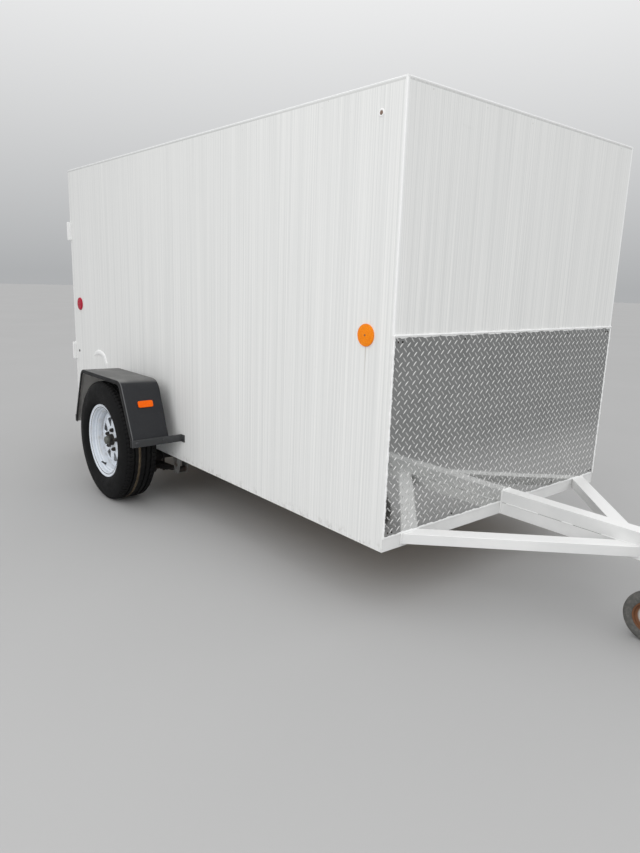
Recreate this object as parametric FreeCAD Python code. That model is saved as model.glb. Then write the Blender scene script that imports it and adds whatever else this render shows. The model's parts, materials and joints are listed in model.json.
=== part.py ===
"""Enclosed single-axle box trailer: +X towards the hitch, +Y left, +Z up, ground at z = 0.

Lengths are millimetres. The origin lies on the ground under the middle of the trailer's
bounding box. px() turns a distance ahead of the box's front face into x in that frame.
Pieces of both sides are drawn on the right, at negative y, and mirrored by other_side().
"""
import FreeCAD, Part
import math
import os

V = FreeCAD.Vector

# Box
box_length = 3070.0
box_width = 1562.0
box_height = 1654.0
wall_thickness = 32.0
skin_thickness = 3.0
roof_thickness = 30.0
roof_cap = 12.0
floor_thickness = 18.0
plate_height = 760.0
plate_thickness = 2.0
trim_leg = 8.0
trim_thickness = 1.5

# Frame of rectangular tubes
frame_clearance = 271.0
frame_depth = 54.0
rail_width = 76.0
member_width = 54.0
frame_tube_wall = 3.0
crossmember_count = 4

# Rear doorway and its two inset doors
post_width = 40.0
post_depth = 50.0
header_depth = 50.0
door_thickness = 32.0
door_gap = 5.0
door_corner = 4.0

# Strap hinges, their axis behind the doors so that these swing round to the sides
hinge_inset = 20.0
hinge_stand = 40.0
hinge_height = 119.0
hinge_level_low = 455.0
hinge_level_high = 1264.0
knuckle_radius = 11.0
knuckle_gap = 0.6
hinge_leaf = 6.0
hinge_leaf_width = 52.0
hinge_web = 8.0
strap_length = 180.0
strap_bend_start = 28.0
strap_bend_end = 84.0
strap_shift = 3.0
strap_corner = 5.0

# Lock bars on the doors and the keepers that they stand between
lock_rod_radius = 9.0
lock_rod_stand = 20.0
lock_rod_inset = 60.0
lock_guide_shares = (0.14, 0.86)
lock_guide_width = 36.0
lock_guide_height = 28.0
lock_guide_wall = 3.0
lock_handle_share = 0.42
lock_handle_length = 250.0
lock_handle_root = 28.0
lock_handle_tip = 22.0
lock_handle_thickness = 10.0
lock_handle_proud = 4.0
lock_handle_corner = 3.0
lock_catch_width = 30.0
lock_catch_height = 40.0
lock_catch_inset = 20.0
keeper_gap = 5.0
keeper_lug = 10.0
keeper_height = 24.0

# Tongue: two stacked tubes and the legs of the A, stated ahead of the box's front face
beam_width = 66.0
beam_upper_height = 55.0
beam_lower_reach = 950.0
beam_upper_overhang = 80.0
beam_tube_wall = 4.0
leg_width = 66.0
leg_height = 42.0
leg_inset = 101.0
leg_jack_gap = 91.0

# Ball coupler
ball_overhang = 100.0
ball_radius = 25.4
ball_clearance = 0.3
socket_mouth = 20.0
coupler_wall = 5.0
coupler_depth = 50.0
coupler_head_radius = 36.0
coupler_nose_round = 35.0
coupler_cover = 190.0
coupler_corner = 4.0
coupler_neck = 30.0
latch_width = 22.0
latch_front = 14.0
latch_back = 95.0
latch_shoulder = 16.0
latch_crest = 30.0
latch_crest_back = 30.0
latch_tip_rise = 46.0
latch_tip_reach = 32.0
latch_tip_depth = 12.0
latch_root = 22.0
latch_corner = 3.0

# Swivel-wheel jack beside the beam
jack_setback = 184.0
jack_offset = 93.0
jack_tube_radius = 28.5
jack_tube_wall = 4.2
jack_slide_gap = 0.3
jack_tube_length = 450.0
jack_tube_crown = 6.0
jack_cap_height = 14.0
jack_cap_lip = 3.0
jack_leg_cover = 40.0
jack_travel = 50.0
jack_stop_gap = 5.0
jack_plate_length = 100.0
jack_plate_height = 90.0
jack_plate_thickness = 10.0
jack_plate_corner = 8.0
jack_boss_radius = 25.0
jack_boss_bite = 4.0
crank_shaft_radius = 8.0
crank_shaft_length = 26.0
crank_arm_length = 130.0
crank_arm_width = 20.0
crank_arm_root = 24.0
crank_arm_thickness = 8.0
crank_knob_radius = 9.0
crank_knob_length = 70.0
crank_knob_inset = 12.0
caster_radius = 98.0
caster_width = 46.0
caster_rim_radius = 60.0
caster_web = 14.0
caster_hub_radius = 20.0
caster_trail = 45.0
caster_axle_radius = 8.0
caster_axle_gap = 0.06
fork_thickness = 4.0
fork_gap = 5.0
fork_toe = 18.0
fork_heel = 30.0
fork_throat = 12.0
fork_round = 17.0
crown_clearance = 8.0
crown_thickness = 6.0
crown_corner = 20.0
hub_side_gap = 0.5
thrust_gap = 0.3

# Wheels: offsets are outward from the wheel's middle plane
axle_share = 0.6332
wheel_stand = 199.0
tyre_radius = 338.0
tyre_width = 201.0
tread_width = 147.0
shoulder_radius = 303.0
tyre_fit = 0.3
bead_radius = 190.0
rim_lip_radius = 208.0
rim_width = 164.0
rim_wall = 4.0
rim_well_radius = 172.0
rim_well_half = 40.0
disc_inset = 25.0
window_count = 8
window_start = 15.0
window_inner = 77.0
window_outer = 127.0
window_inner_half_angle = 7.0
window_outer_half_angle = 14.0
window_corner = 6.0
lug_count = 5
lug_start = 10.0
lug_circle = 114.3
nut_radius = 10.5
nut_height = 16.0
hub_radius = 32.5
hub_reach = 27.0
hub_fit = 0.5
hub_depth = 70.0
hub_face_thickness = 10.0
cap_radius = 22.5
cap_reach = 44.0

# Drop axle
spindle_radius = 17.0
spindle_gap = 0.06
spindle_end_gap = 4.0
axle_tube_radius = 30.0
axle_drop = 127.0
drop_arm_thickness = 18.0
drop_arm_gap = 6.0
drop_arm_low = 36.0
drop_arm_high = 31.0
drop_arm_corner = 11.0

# Leaf springs, under the axle tube
spring_half_length = 308.0
spring_camber = 22.0
spring_width = 45.0
leaf_thickness = 7.0
leaf_gap = 0.4
leaf_shares = (1.0, 0.78, 0.56, 0.34)
eye_radius = 17.0
eye_bolt_radius = 8.0
eye_bolt_gap = 0.2
bolt_head_radius = 12.0
bolt_head_height = 8.0
spring_pad = 7.0
pad_half_length = 32.0
pad_inset = 0.5
side_gap = 0.3
hanger_plate = 6.0
hanger_foot = 20.0
hanger_front = 52.0
hanger_back = 40.0
hanger_corner = 11.0
lug_plate_inset = 2.0
lug_foot = 34.0
shackle_lean = 22.0
shackle_length = 58.0
shackle_half_width = 18.0
clamp_rod = 12.0
clamp_rod_gap = 1.0
clamp_plate = 8.0
clamp_plate_margin = 14.0
clamp_rod_end = 20.0
clamp_nut_radius = 10.0
clamp_nut_height = 11.0

# Fenders, standing off the walls on flat bars
fender_gap = 76.0
fender_width = 211.0
fender_top = 443.0
fender_bottom = 150.0
fender_flange = 40.0
fender_half_top = 272.0
fender_half_base = 396.0
fender_corner = 50.0
fender_corner_least = 14.0
fender_sheet = 3.0
fender_lip = 10.0
bracket_bar = 6.0
bracket_height = 40.0
bracket_foot = 38.0

# Lamps and reflectors
reflector_radius = 41.5
reflector_thickness = 8.0
amber_setback = 138.0
amber_height = 806.0
red_setback = 122.0
red_height = 784.0
fender_reflector_length = 84.0
fender_reflector_height = 36.0
fender_reflector_thickness = 8.0
fender_reflector_share = 0.416
fender_reflector_offset = 97.0
tail_lamp_length = 150.0
tail_lamp_height = 38.0
tail_lamp_depth = 12.0
tail_lamp_inset = 20.0
lens_corner = 6.0

# Corners rounder than this are arcs; smaller ones are cut straight, to keep facets few
smallest_arc = 12.0
shortest_edge = 1e-6
overcut = 1.0

# Places that follow from the sizes above
beam_upper_reach = beam_lower_reach + beam_upper_overhang
ball_reach = beam_upper_reach + ball_overhang
hinge_back = hinge_stand + knuckle_radius
overall_length = hinge_back + box_length + ball_reach + coupler_head_radius
front_x = overall_length / 2 - ball_reach - coupler_head_radius
rear_x = front_x - box_length
half_width = box_width / 2
base_z = frame_clearance
deck_z = base_z + frame_depth
floor_top = deck_z + floor_thickness
roof_top = base_z + box_height
roof_under = roof_top - roof_thickness
wall_top = roof_top - roof_cap
inner_y = half_width - wall_thickness
rail_outer = half_width - skin_thickness
rail_middle = rail_outer - rail_width / 2
beam_top = deck_z + beam_upper_height
jack_reach = beam_lower_reach - jack_setback
leg_reach = jack_reach - jack_plate_length / 2 - leg_jack_gap
leg_slope = (half_width - leg_inset - beam_width / 2) / leg_reach
crown_z = 2 * caster_radius + crown_clearance
hinge_axis_y = half_width - hinge_inset
wheel_plane = half_width + wheel_stand
axle_x = front_x - box_length * axle_share
axle_z = tyre_radius
tube_z = axle_z - axle_drop
door_low = deck_z + door_gap
door_high = roof_under - header_depth - door_gap
disc_out = disc_inset + rim_wall / 2
disc_in = disc_inset - rim_wall / 2
hub_end = disc_out + hub_reach
cap_end = disc_out + cap_reach
leaf_top = tube_z - axle_tube_radius - spring_pad
spring_radius = (spring_half_length ** 2 + spring_camber ** 2) / (2 * spring_camber)
spring_spread = math.asin(spring_half_length / (spring_radius + leaf_thickness / 2))
spring_arc_z = leaf_top + spring_radius
eye_z = spring_arc_z - (spring_radius + leaf_thickness / 2) * math.cos(spring_spread)
spring_out = -rail_middle - spring_width / 2
spring_in = -rail_middle + spring_width / 2
eye_front = axle_x + spring_half_length
eye_back = axle_x - spring_half_length


def px(reach):
    """x of a point that lies this far ahead of the box's front face."""
    return front_x + reach


def block(x0, x1, y0, y1, z0, z1):
    """Box between two corners."""
    low = V(min(x0, x1), min(y0, y1), min(z0, z1))
    return Part.makeBox(abs(x1 - x0), abs(y1 - y0), abs(z1 - z0), low)


def rod(start, end, radius):
    """Round bar between two points."""
    return Part.makeCylinder(radius, (end - start).Length, start, end - start)


def outline(corners, place):
    """Flat face from corners (u, v, radius): large radii become arcs, small ones flats."""
    cuts = []
    for index, (u, v, radius) in enumerate(corners):
        before = corners[index - 1]
        after = corners[(index + 1) % len(corners)]
        here = V(u, v, 0)
        back = V(before[0] - u, before[1] - v, 0).normalize()
        ahead = V(after[0] - u, after[1] - v, 0).normalize()
        half = back.getAngle(ahead) / 2
        cut = radius / math.tan(half)
        bulge = radius / math.sin(half) - radius
        middle = here + (back + ahead).normalize() * bulge if radius else here
        cuts.append((here + back * cut, middle, here + ahead * cut, radius >= smallest_arc))
    edges = []
    for index, (start, middle, end, round_one) in enumerate(cuts):
        following = cuts[(index + 1) % len(cuts)][0]
        if round_one:
            arc = Part.Arc(place(start.x, start.y), place(middle.x, middle.y), place(end.x, end.y))
            edges.append(arc.toShape())
        for a, b in ((start, end), (end, following)):
            if (b - a).Length > shortest_edge and not (round_one and a is start):
                edges.append(Part.makeLine(place(a.x, a.y), place(b.x, b.y)))
    return Part.Face(Part.Wire(edges))


def plate_xz(corners, y0, y1):
    """Plate with its outline in x and z, between two y planes."""
    return outline(corners, lambda u, v: V(u, y0, v)).extrude(V(0, y1 - y0, 0))


def plate_xy(corners, z0, z1):
    """Plate with its outline in x and y, between two heights."""
    return outline(corners, lambda u, v: V(u, v, z0)).extrude(V(0, 0, z1 - z0))


def plate_yz(corners, x0, x1):
    """Plate with its outline in y and z, between two x planes."""
    return outline(corners, lambda u, v: V(x0, u, v)).extrude(V(x1 - x0, 0, 0))


def square(points):
    """The same corners with no rounding."""
    return [(u, v, 0) for u, v in points]


def rectangle(u0, u1, v0, v1, radius):
    """Corners of a rectangle, all of one radius."""
    return [(u0, v0, radius), (u1, v0, radius), (u1, v1, radius), (u0, v1, radius)]


def hexagon(x, z, radius, turn):
    """Corners of a nut or stud seen along y."""
    angles = [turn + index * math.pi / 3 for index in range(6)]
    return square([(x + radius * math.cos(a), z + radius * math.sin(a)) for a in angles])


def tube_along_x(x0, x1, y0, y1, z0, z1, wall):
    """Rectangular tube, open at its two ends."""
    bore = block(x0 - overcut, x1 + overcut, y0 + wall, y1 - wall, z0 + wall, z1 - wall)
    return block(x0, x1, y0, y1, z0, z1).cut(bore)


def tube_along_y(x0, x1, y0, y1, z0, z1, wall):
    """Rectangular tube, open at its two ends."""
    bore = block(x0 + wall, x1 - wall, y0 - overcut, y1 + overcut, z0 + wall, z1 - wall)
    return block(x0, x1, y0, y1, z0, z1).cut(bore)


def other_side(shape):
    """Mirror image across the trailer's middle plane."""
    return shape.mirror(V(0, 0, 0), V(0, 1, 0))


def both_ways(points):
    """A profile of (outward offset, radius) points, followed by its mirror image."""
    return points + [(-out, radius) for out, radius in reversed(points)]


def turned(profile, centre, side):
    """Solid of revolution about a line along y: profile points are (outward offset, radius)."""
    points = [V(centre.x, centre.y + side * out, centre.z + radius) for out, radius in profile]
    face = Part.Face(Part.makePolygon(points + points[:1]))
    return face.revolve(centre, V(0, 1, 0), 360)


def joined(shapes):
    """One solid from pieces that touch."""
    return shapes[0].fuse(shapes[1:]).removeSplitter()


def save(name, *shapes):
    """Write one node; several solids that don't touch share a compound."""
    shape = shapes[0] if len(shapes) == 1 else Part.makeCompound(list(shapes))
    shape.exportStep("parts/" + name + ".step")


def save_both(name, *shapes):
    """Write one node that holds these solids and their mirror images."""
    save(name, *shapes, *[other_side(shape) for shape in shapes])


def save_pair(name, *shapes):
    """Write a right-hand node and its left-hand mirror image."""
    save(name + "_right", *shapes)
    save(name + "_left", *[other_side(shape) for shape in shapes])


def frame():
    """Ladder of rectangular tubes under the box."""
    front = px(0)
    save("front_member", tube_along_y(front - member_width, front, -rail_outer, rail_outer,
                                      base_z, deck_z, frame_tube_wall))
    save("rear_sill", tube_along_y(rear_x, rear_x + member_width, -rail_outer, rail_outer,
                                   base_z, deck_z, frame_tube_wall))
    save_both("side_rails", tube_along_x(rear_x + member_width, front - member_width, -rail_outer,
                                         rail_width - rail_outer, base_z, deck_z, frame_tube_wall))
    reach = rail_outer - rail_width
    bay = (box_length - member_width) / (crossmember_count + 1)
    members = []
    for index in range(crossmember_count):
        start = rear_x + bay * (index + 1)
        members.append(tube_along_y(start, start + member_width, -reach, reach,
                                    base_z, deck_z, frame_tube_wall))
    save("crossmembers", *members)


def box_panels():
    """Floor, walls and roof of the cargo box, each as thick as the whole panel."""
    front = px(0)
    save("floor", block(rear_x + post_depth, front - wall_thickness, -inner_y, inner_y,
                        deck_z, floor_top))
    section = [(-half_width, base_z), (-rail_outer, base_z), (-rail_outer, deck_z),
               (-inner_y, deck_z), (-inner_y, wall_top), (-half_width, wall_top)]
    save_pair("wall", plate_yz(square(section), rear_x, front))
    save("wall_front", block(front - wall_thickness, front, -inner_y, inner_y, deck_z, wall_top))
    cap = block(rear_x, front, -half_width, half_width, wall_top, roof_top)
    panel = block(rear_x, front - wall_thickness, -inner_y, inner_y, roof_under, wall_top)
    save("roof", joined([cap, panel]))
    save("tread_plate", block(front, front + plate_thickness, -half_width, half_width,
                              deck_z, deck_z + plate_height))


def trims():
    """Sheet-metal angles over the roof's edges and the front corners."""
    front = px(0)
    face = front + trim_thickness
    top = roof_top + trim_thickness
    low = roof_top - trim_leg
    side = half_width + trim_thickness
    lap = half_width - trim_leg
    along = plate_yz(square([(-side, low), (-half_width, low), (-half_width, roof_top),
                             (-lap, roof_top), (-lap, top), (-side, top)]), rear_x, front)
    across = plate_xz(square([(front, low), (face, low), (face, top), (front - trim_leg, top),
                              (front - trim_leg, roof_top), (front, roof_top)]), -lap, lap)
    corner = plate_xy(square([(front - trim_leg, -half_width), (front - trim_leg, -side),
                              (face, -side), (face, -lap), (front, -lap), (front, -half_width)]),
                      deck_z + plate_height, low)
    front_cap = block(front, face, -side, -lap, low, top)
    side_cap = block(front - trim_leg, front, -side, -half_width, low, top)
    edge = joined([along, front_cap, side_cap, corner])
    save("edge_trims", edge, across, other_side(edge))


def rear_frame():
    """Posts and header round the doorway."""
    reach = inner_y - post_width
    save_both("rear_posts", block(rear_x, rear_x + post_depth, -inner_y, -reach,
                                  deck_z, roof_under))
    save("rear_header", block(rear_x, rear_x + post_depth, -reach, reach,
                              roof_under - header_depth, roof_under))


def doors():
    """Two inset doors; their free edges keep a gap while either one swings."""
    swing = hinge_axis_y - door_gap / 2
    door_reach = math.sqrt(swing ** 2 - (hinge_stand + door_thickness) ** 2)
    hinge_edge = post_width - inner_y + door_gap
    free_edge = door_reach - hinge_axis_y
    save_pair("door", plate_yz(rectangle(hinge_edge, free_edge, door_low, door_high, door_corner),
                               rear_x, rear_x + door_thickness))


def hinges():
    """Fixed knuckles on the posts under the straps' knuckles on the doors."""
    axis_x = rear_x - hinge_stand
    axis_y = -hinge_axis_y
    back = axis_x - knuckle_radius
    strap_front = back + hinge_leaf
    door_face = rear_x - hinge_leaf
    leaf_out = hinge_leaf - half_width
    bend_start = axis_y + strap_bend_start
    bend_end = axis_y + strap_bend_end
    tip = axis_y + strap_length
    fixed, moving = [], []
    for level in (hinge_level_low, hinge_level_high):
        low = base_z + level - hinge_height / 2
        high = low + hinge_height
        split = (low + high) / 2
        plate = block(door_face, rear_x, leaf_out, leaf_out + hinge_leaf_width, low, high)
        web = block(axis_x, door_face, axis_y - hinge_web / 2, axis_y + hinge_web / 2, low, split)
        barrel = rod(V(axis_x, axis_y, low), V(axis_x, axis_y, split), knuckle_radius)
        fixed.append(joined([plate, web, barrel]))
        strap = plate_xy([(back, axis_y, 0), (back, bend_start, strap_corner),
                          (door_face, bend_end, strap_corner), (door_face, tip, 0),
                          (rear_x, tip, 0), (rear_x, bend_end - strap_shift, strap_corner),
                          (strap_front, bend_start - strap_shift, strap_corner),
                          (strap_front, axis_y, 0)], split + knuckle_gap, high)
        eye = rod(V(axis_x, axis_y, split + knuckle_gap), V(axis_x, axis_y, high), knuckle_radius)
        moving.append(joined([strap, eye]))
    save_both("hinge_leaves", *fixed)
    save_pair("hinges", *moving)


def lock_bars():
    """A lock bar with guides and handle on each door, standing free between its keepers."""
    rod_x = rear_x - lock_rod_stand
    rod_y = -lock_rod_inset
    low_end = door_low - keeper_height
    high_end = door_high + door_gap + keeper_height
    guide_back = rod_x - lock_rod_radius - lock_guide_wall
    height = door_high - door_low
    pieces = [rod(V(rod_x, rod_y, low_end), V(rod_x, rod_y, high_end), lock_rod_radius)]
    for share in lock_guide_shares:
        z = door_low + share * height - lock_guide_height / 2
        pieces.append(block(guide_back, rear_x, rod_y - lock_guide_width / 2,
                            rod_y + lock_guide_width / 2, z, z + lock_guide_height))
    handle_z = door_low + lock_handle_share * height
    root_y = rod_y + lock_rod_radius + lock_guide_wall
    tip_y = rod_y - lock_handle_length
    handle_x = guide_back - lock_handle_proud
    pieces.append(plate_yz([(root_y, handle_z - lock_handle_root / 2, 0),
                            (root_y, handle_z + lock_handle_root / 2, 0),
                            (tip_y, handle_z + lock_handle_tip / 2, lock_handle_corner),
                            (tip_y, handle_z - lock_handle_tip / 2, lock_handle_corner)],
                           handle_x, handle_x + lock_handle_thickness))
    catch_y = tip_y + lock_catch_inset
    pieces.append(block(handle_x + lock_handle_thickness, rear_x, catch_y,
                        catch_y + lock_catch_width, handle_z - lock_catch_height / 2,
                        handle_z + lock_catch_height / 2))
    save_pair("lock_bar", joined(pieces))

    keepers = []
    lug_out = lock_rod_radius + keeper_gap
    for low, high in ((low_end, door_low - door_gap), (door_high + door_gap, high_end)):
        for side in (-1, 1):
            near = rod_y + side * lug_out
            keepers.append(block(guide_back, rear_x, near, near + side * keeper_lug, low, high))
    save_both("door_keepers", *keepers)


def tongue():
    """Twin beam on the centre line and the two slanting legs of the A."""
    half = beam_width / 2
    save("tongue_beam_lower", tube_along_x(px(0), px(beam_lower_reach), -half, half,
                                           base_z, deck_z, beam_tube_wall))
    save("tongue_beam_upper", tube_along_x(px(plate_thickness), px(beam_upper_reach), -half, half,
                                           deck_z, beam_top, beam_tube_wall))
    across = math.hypot(1, leg_slope)
    outer = half_width - leg_inset
    inner = outer - leg_width * across

    def leg_plan(inset, extra):
        """Corners of a leg cut by the box face and the beam, with its long sides inset."""
        start = -extra
        side = half - extra
        far, near = outer - inset, inner + inset
        return square([(px(start), start * leg_slope - far), (px((far - side) / leg_slope), -side),
                       (px((near - side) / leg_slope), -side), (px(start), start * leg_slope - near)])

    low = deck_z - leg_height
    leg = plate_xy(leg_plan(0, 0), low, deck_z)
    hollow = plate_xy(leg_plan(beam_tube_wall * across, overcut),
                      low + beam_tube_wall, deck_z - beam_tube_wall)
    save_both("tongue_legs", leg.cut(hollow))


def coupler():
    """Ball coupler that wraps over the end of the upper beam, with its latch."""
    ball_x = px(ball_reach)
    beam_end = px(beam_upper_reach)
    top = beam_top + coupler_wall
    bottom = top - coupler_depth
    rear = beam_end - coupler_cover
    half = beam_width / 2 + coupler_wall
    nose = ball_x + coupler_head_radius
    right = [(rear, -half, coupler_corner), (beam_end, -half, coupler_neck),
             (ball_x, -coupler_head_radius, 0), (nose, -coupler_head_radius, coupler_nose_round)]
    left = [(x, -y, radius) for x, y, radius in reversed(right)]
    shell = plate_xy(right + left, bottom, top)
    inside = block(rear - overcut, beam_end + overcut, -beam_width / 2, beam_width / 2,
                   bottom - overcut, beam_top)
    socket = ball_radius + ball_clearance
    flare = socket * math.tan(math.pi / 8)
    ball_z = bottom + socket_mouth
    cup = rod(V(ball_x, 0, bottom - overcut), V(ball_x, 0, ball_z + flare), socket)
    crown = Part.makeCone(socket, flare, socket - flare, V(ball_x, 0, ball_z + flare))
    save("coupler", shell.cut(inside).cut(cup.fuse(crown)))
    back = ball_x - latch_back
    front = ball_x + latch_front
    lever = plate_xz([(back, top, 0), (front, top, 0), (front, top + latch_shoulder, latch_corner),
                      (ball_x - latch_crest_back, top + latch_crest, latch_corner),
                      (back - latch_tip_reach, top + latch_tip_rise, latch_corner),
                      (back - latch_tip_reach, top + latch_tip_rise - latch_tip_depth, latch_corner),
                      (back, top + latch_root, latch_corner)], -latch_width / 2, latch_width / 2)
    save("coupler_latch", lever)


def jack():
    """Swivel-wheel jack on the right of the beam, standing on its wheel."""
    x = px(jack_reach)
    y = -jack_offset
    side = -beam_width / 2
    inner_radius = jack_tube_radius - jack_tube_wall
    leg_low = crown_z + crown_thickness + thrust_gap
    tube_low = leg_low + jack_travel + jack_stop_gap
    tube_high = tube_low + jack_tube_length
    mount_z = (base_z + beam_top) / 2
    plate_back = side - jack_plate_thickness
    save("jack_bracket", plate_xz(rectangle(x - jack_plate_length / 2, x + jack_plate_length / 2,
                                            mount_z - jack_plate_height / 2,
                                            mount_z + jack_plate_height / 2, jack_plate_corner),
                                  plate_back, side))
    outer = rod(V(x, y, tube_low), V(x, y, tube_high), jack_tube_radius)
    boss_end = y + jack_tube_radius - jack_boss_bite
    boss = rod(V(x, plate_back, mount_z), V(x, boss_end, mount_z), jack_boss_radius)
    cap_top = tube_high + jack_cap_height
    cap = rod(V(x, y, tube_high), V(x, y, cap_top), jack_tube_radius + jack_cap_lip)
    bore = rod(V(x, y, tube_low - overcut), V(x, y, tube_high - jack_tube_crown), inner_radius)
    save("jack_tube", joined([outer, boss, cap]).cut(bore))

    arm_top = cap_top + crank_shaft_length
    arm_low = arm_top - crank_arm_thickness
    end = y - crank_arm_length
    shaft = rod(V(x, y, cap_top), V(x, y, arm_top), crank_shaft_radius)
    arm = plate_xy([(x - crank_arm_width / 2, end, crank_shaft_radius),
                    (x + crank_arm_width / 2, end, crank_shaft_radius),
                    (x + crank_arm_root / 2, y + crank_arm_root / 2, crank_shaft_radius),
                    (x - crank_arm_root / 2, y + crank_arm_root / 2, crank_shaft_radius)],
                   arm_low, arm_top)
    knob_y = end + crank_knob_inset
    knob = rod(V(x, knob_y, arm_top), V(x, knob_y, arm_top + crank_knob_length), crank_knob_radius)
    save("jack_crank", joined([shaft, arm, knob]))

    leg_top = tube_high - jack_leg_cover - jack_travel
    save("jack_leg", rod(V(x, y, leg_low), V(x, y, leg_top), inner_radius - jack_slide_gap))

    fork_half = caster_width / 2 + fork_gap
    fork_out = fork_half + fork_thickness
    wheel_x = x - caster_trail
    throat = wheel_x - fork_throat
    heel = x + fork_heel
    pieces = [plate_xy([(throat, y - fork_out, 0), (heel, y - fork_out, crown_corner),
                        (heel, y + fork_out, crown_corner), (throat, y + fork_out, 0)],
                       crown_z, crown_z + crown_thickness)]
    cheek = [(wheel_x - fork_toe, caster_radius - fork_toe, fork_round),
             (wheel_x + fork_toe, caster_radius - fork_toe, fork_round),
             (x + fork_toe, crown_z, 0), (throat, crown_z, 0)]
    for way in (-1, 1):
        inner = y + way * fork_half
        pieces.append(plate_xz(cheek, inner, inner + way * fork_thickness))
    pieces.append(rod(V(wheel_x, y - fork_out, caster_radius),
                      V(wheel_x, y + fork_out, caster_radius), caster_axle_radius))
    save("jack_fork", joined(pieces))

    centre = V(wheel_x, y, caster_radius)
    rim_half = caster_width / 2
    hub_half = fork_half - hub_side_gap
    bore_radius = caster_axle_radius + caster_axle_gap
    save("jack_wheel_rim", turned(both_ways([(hub_half, bore_radius),
                                             (hub_half, caster_hub_radius),
                                             (caster_web / 2, caster_hub_radius),
                                             (caster_web / 2, caster_rim_radius)]), centre, 1))
    seat = caster_rim_radius + tyre_fit
    save("jack_wheel_tyre", turned(both_ways([(rim_half, seat), (rim_half, caster_radius)]),
                                   centre, 1))


def tyres():
    """Plain tyres: a ring with sloping shoulders, seated on the rim's two lips."""
    profile = both_ways([(tyre_width / 2, rim_lip_radius + tyre_fit),
                         (tyre_width / 2, shoulder_radius), (tread_width / 2, tyre_radius)])
    save_pair("tyre", turned(profile, V(axle_x, -wheel_plane, axle_z), -1))


def rims():
    """Steel wheels: rim with a sloping outer bowl, a disc with eight windows, and the nuts."""
    centre = V(axle_x, -wheel_plane, axle_z)
    half = rim_width / 2
    flange = half - rim_wall
    bowl = rim_well_radius - rim_wall
    bed = both_ways([(half, rim_lip_radius), (flange, bead_radius)])
    ring = turned(bed + [(-half, bowl), (rim_well_half, bowl), (half, bead_radius - rim_wall)],
                  centre, -1)
    face = -wheel_plane - disc_out
    back = -wheel_plane - disc_in
    disc = rod(V(axle_x, back, axle_z), V(axle_x, face, axle_z), bowl)
    cuts = [rod(V(axle_x, back + overcut, axle_z), V(axle_x, face - overcut, axle_z),
                hub_radius + hub_fit)]
    narrow = math.radians(window_inner_half_angle)
    wide = math.radians(window_outer_half_angle)
    for index in range(window_count):
        middle = math.radians(window_start + 360 / window_count * index)
        window = [(axle_x + radius * math.cos(angle), axle_z + radius * math.sin(angle),
                   window_corner)
                  for radius, angle in ((window_inner, middle - narrow), (window_inner, middle + narrow),
                                        (window_outer, middle + wide), (window_outer, middle - wide))]
        cuts.append(plate_xz(window, back + overcut, face - overcut))
    pieces = [ring, disc.cut(cuts)]
    for index in range(lug_count):
        angle = math.radians(lug_start + 360 / lug_count * index)
        nut = hexagon(axle_x + lug_circle / 2 * math.cos(angle),
                      axle_z + lug_circle / 2 * math.sin(angle), nut_radius, angle)
        pieces.append(plate_xz(nut, face, face - nut_height))
    save_pair("rim", joined(pieces))


def hubs():
    """Hub through the disc's middle, turning on the spindle, with its dust cap."""
    bore = spindle_radius + spindle_gap
    bore_end = hub_end - hub_face_thickness
    hub = turned([(disc_in - hub_depth, bore), (disc_in - hub_depth, hub_radius),
                  (hub_end, hub_radius), (hub_end, bore)], V(axle_x, -wheel_plane, axle_z), -1)
    cap = rod(V(axle_x, -wheel_plane - bore_end, axle_z),
              V(axle_x, -wheel_plane - cap_end, axle_z), cap_radius)
    save_pair("hub", joined([hub, cap]))


def axle():
    """Drop axle: tube under the frame, an arm up at each end and a spindle into the hub."""
    arm_in = half_width + drop_arm_gap
    arm_out = arm_in + drop_arm_thickness
    spindle_end = wheel_plane + hub_end - hub_face_thickness - spindle_end_gap
    pieces = [rod(V(axle_x, -arm_in, tube_z), V(axle_x, arm_in, tube_z), axle_tube_radius)]
    arm = [(axle_x - drop_arm_low, tube_z - drop_arm_low, drop_arm_corner),
           (axle_x + drop_arm_low, tube_z - drop_arm_low, drop_arm_corner),
           (axle_x + drop_arm_high, axle_z + drop_arm_high, drop_arm_corner),
           (axle_x - drop_arm_high, axle_z + drop_arm_high, drop_arm_corner)]
    for side in (-1, 1):
        pieces.append(plate_xz(arm, side * arm_in, side * arm_out))
        pieces.append(rod(V(axle_x, side * arm_out, axle_z), V(axle_x, side * spindle_end, axle_z),
                          spindle_radius))
    save("axle", joined(pieces))


def springs():
    """Stacked arcs of spring leaf; the longest one is rolled into an eye at each end."""

    def at(ring, angle):
        return V(axle_x + ring * math.sin(angle), spring_out, spring_arc_z - ring * math.cos(angle))

    leaves = []
    for index, share in enumerate(leaf_shares):
        near = spring_radius + index * (leaf_thickness + leaf_gap)
        far = near + leaf_thickness
        spread = spring_spread * share
        edges = [Part.Arc(at(near, -spread), at(near, 0), at(near, spread)).toShape(),
                 Part.makeLine(at(near, spread), at(far, spread)),
                 Part.Arc(at(far, spread), at(far, 0), at(far, -spread)).toShape(),
                 Part.makeLine(at(far, -spread), at(near, -spread))]
        leaves.append(Part.Face(Part.Wire(edges)).extrude(V(0, spring_width, 0)))
    for x in (eye_front, eye_back):
        eye = rod(V(x, spring_out, eye_z), V(x, spring_in, eye_z), eye_radius)
        hole = rod(V(x, spring_out - overcut, eye_z), V(x, spring_in + overcut, eye_z),
                   eye_bolt_radius + eye_bolt_gap)
        leaves[0] = leaves[0].fuse(eye).cut(hole)
    leaves[0] = leaves[0].removeSplitter()
    save_pair("spring", *leaves)


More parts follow.
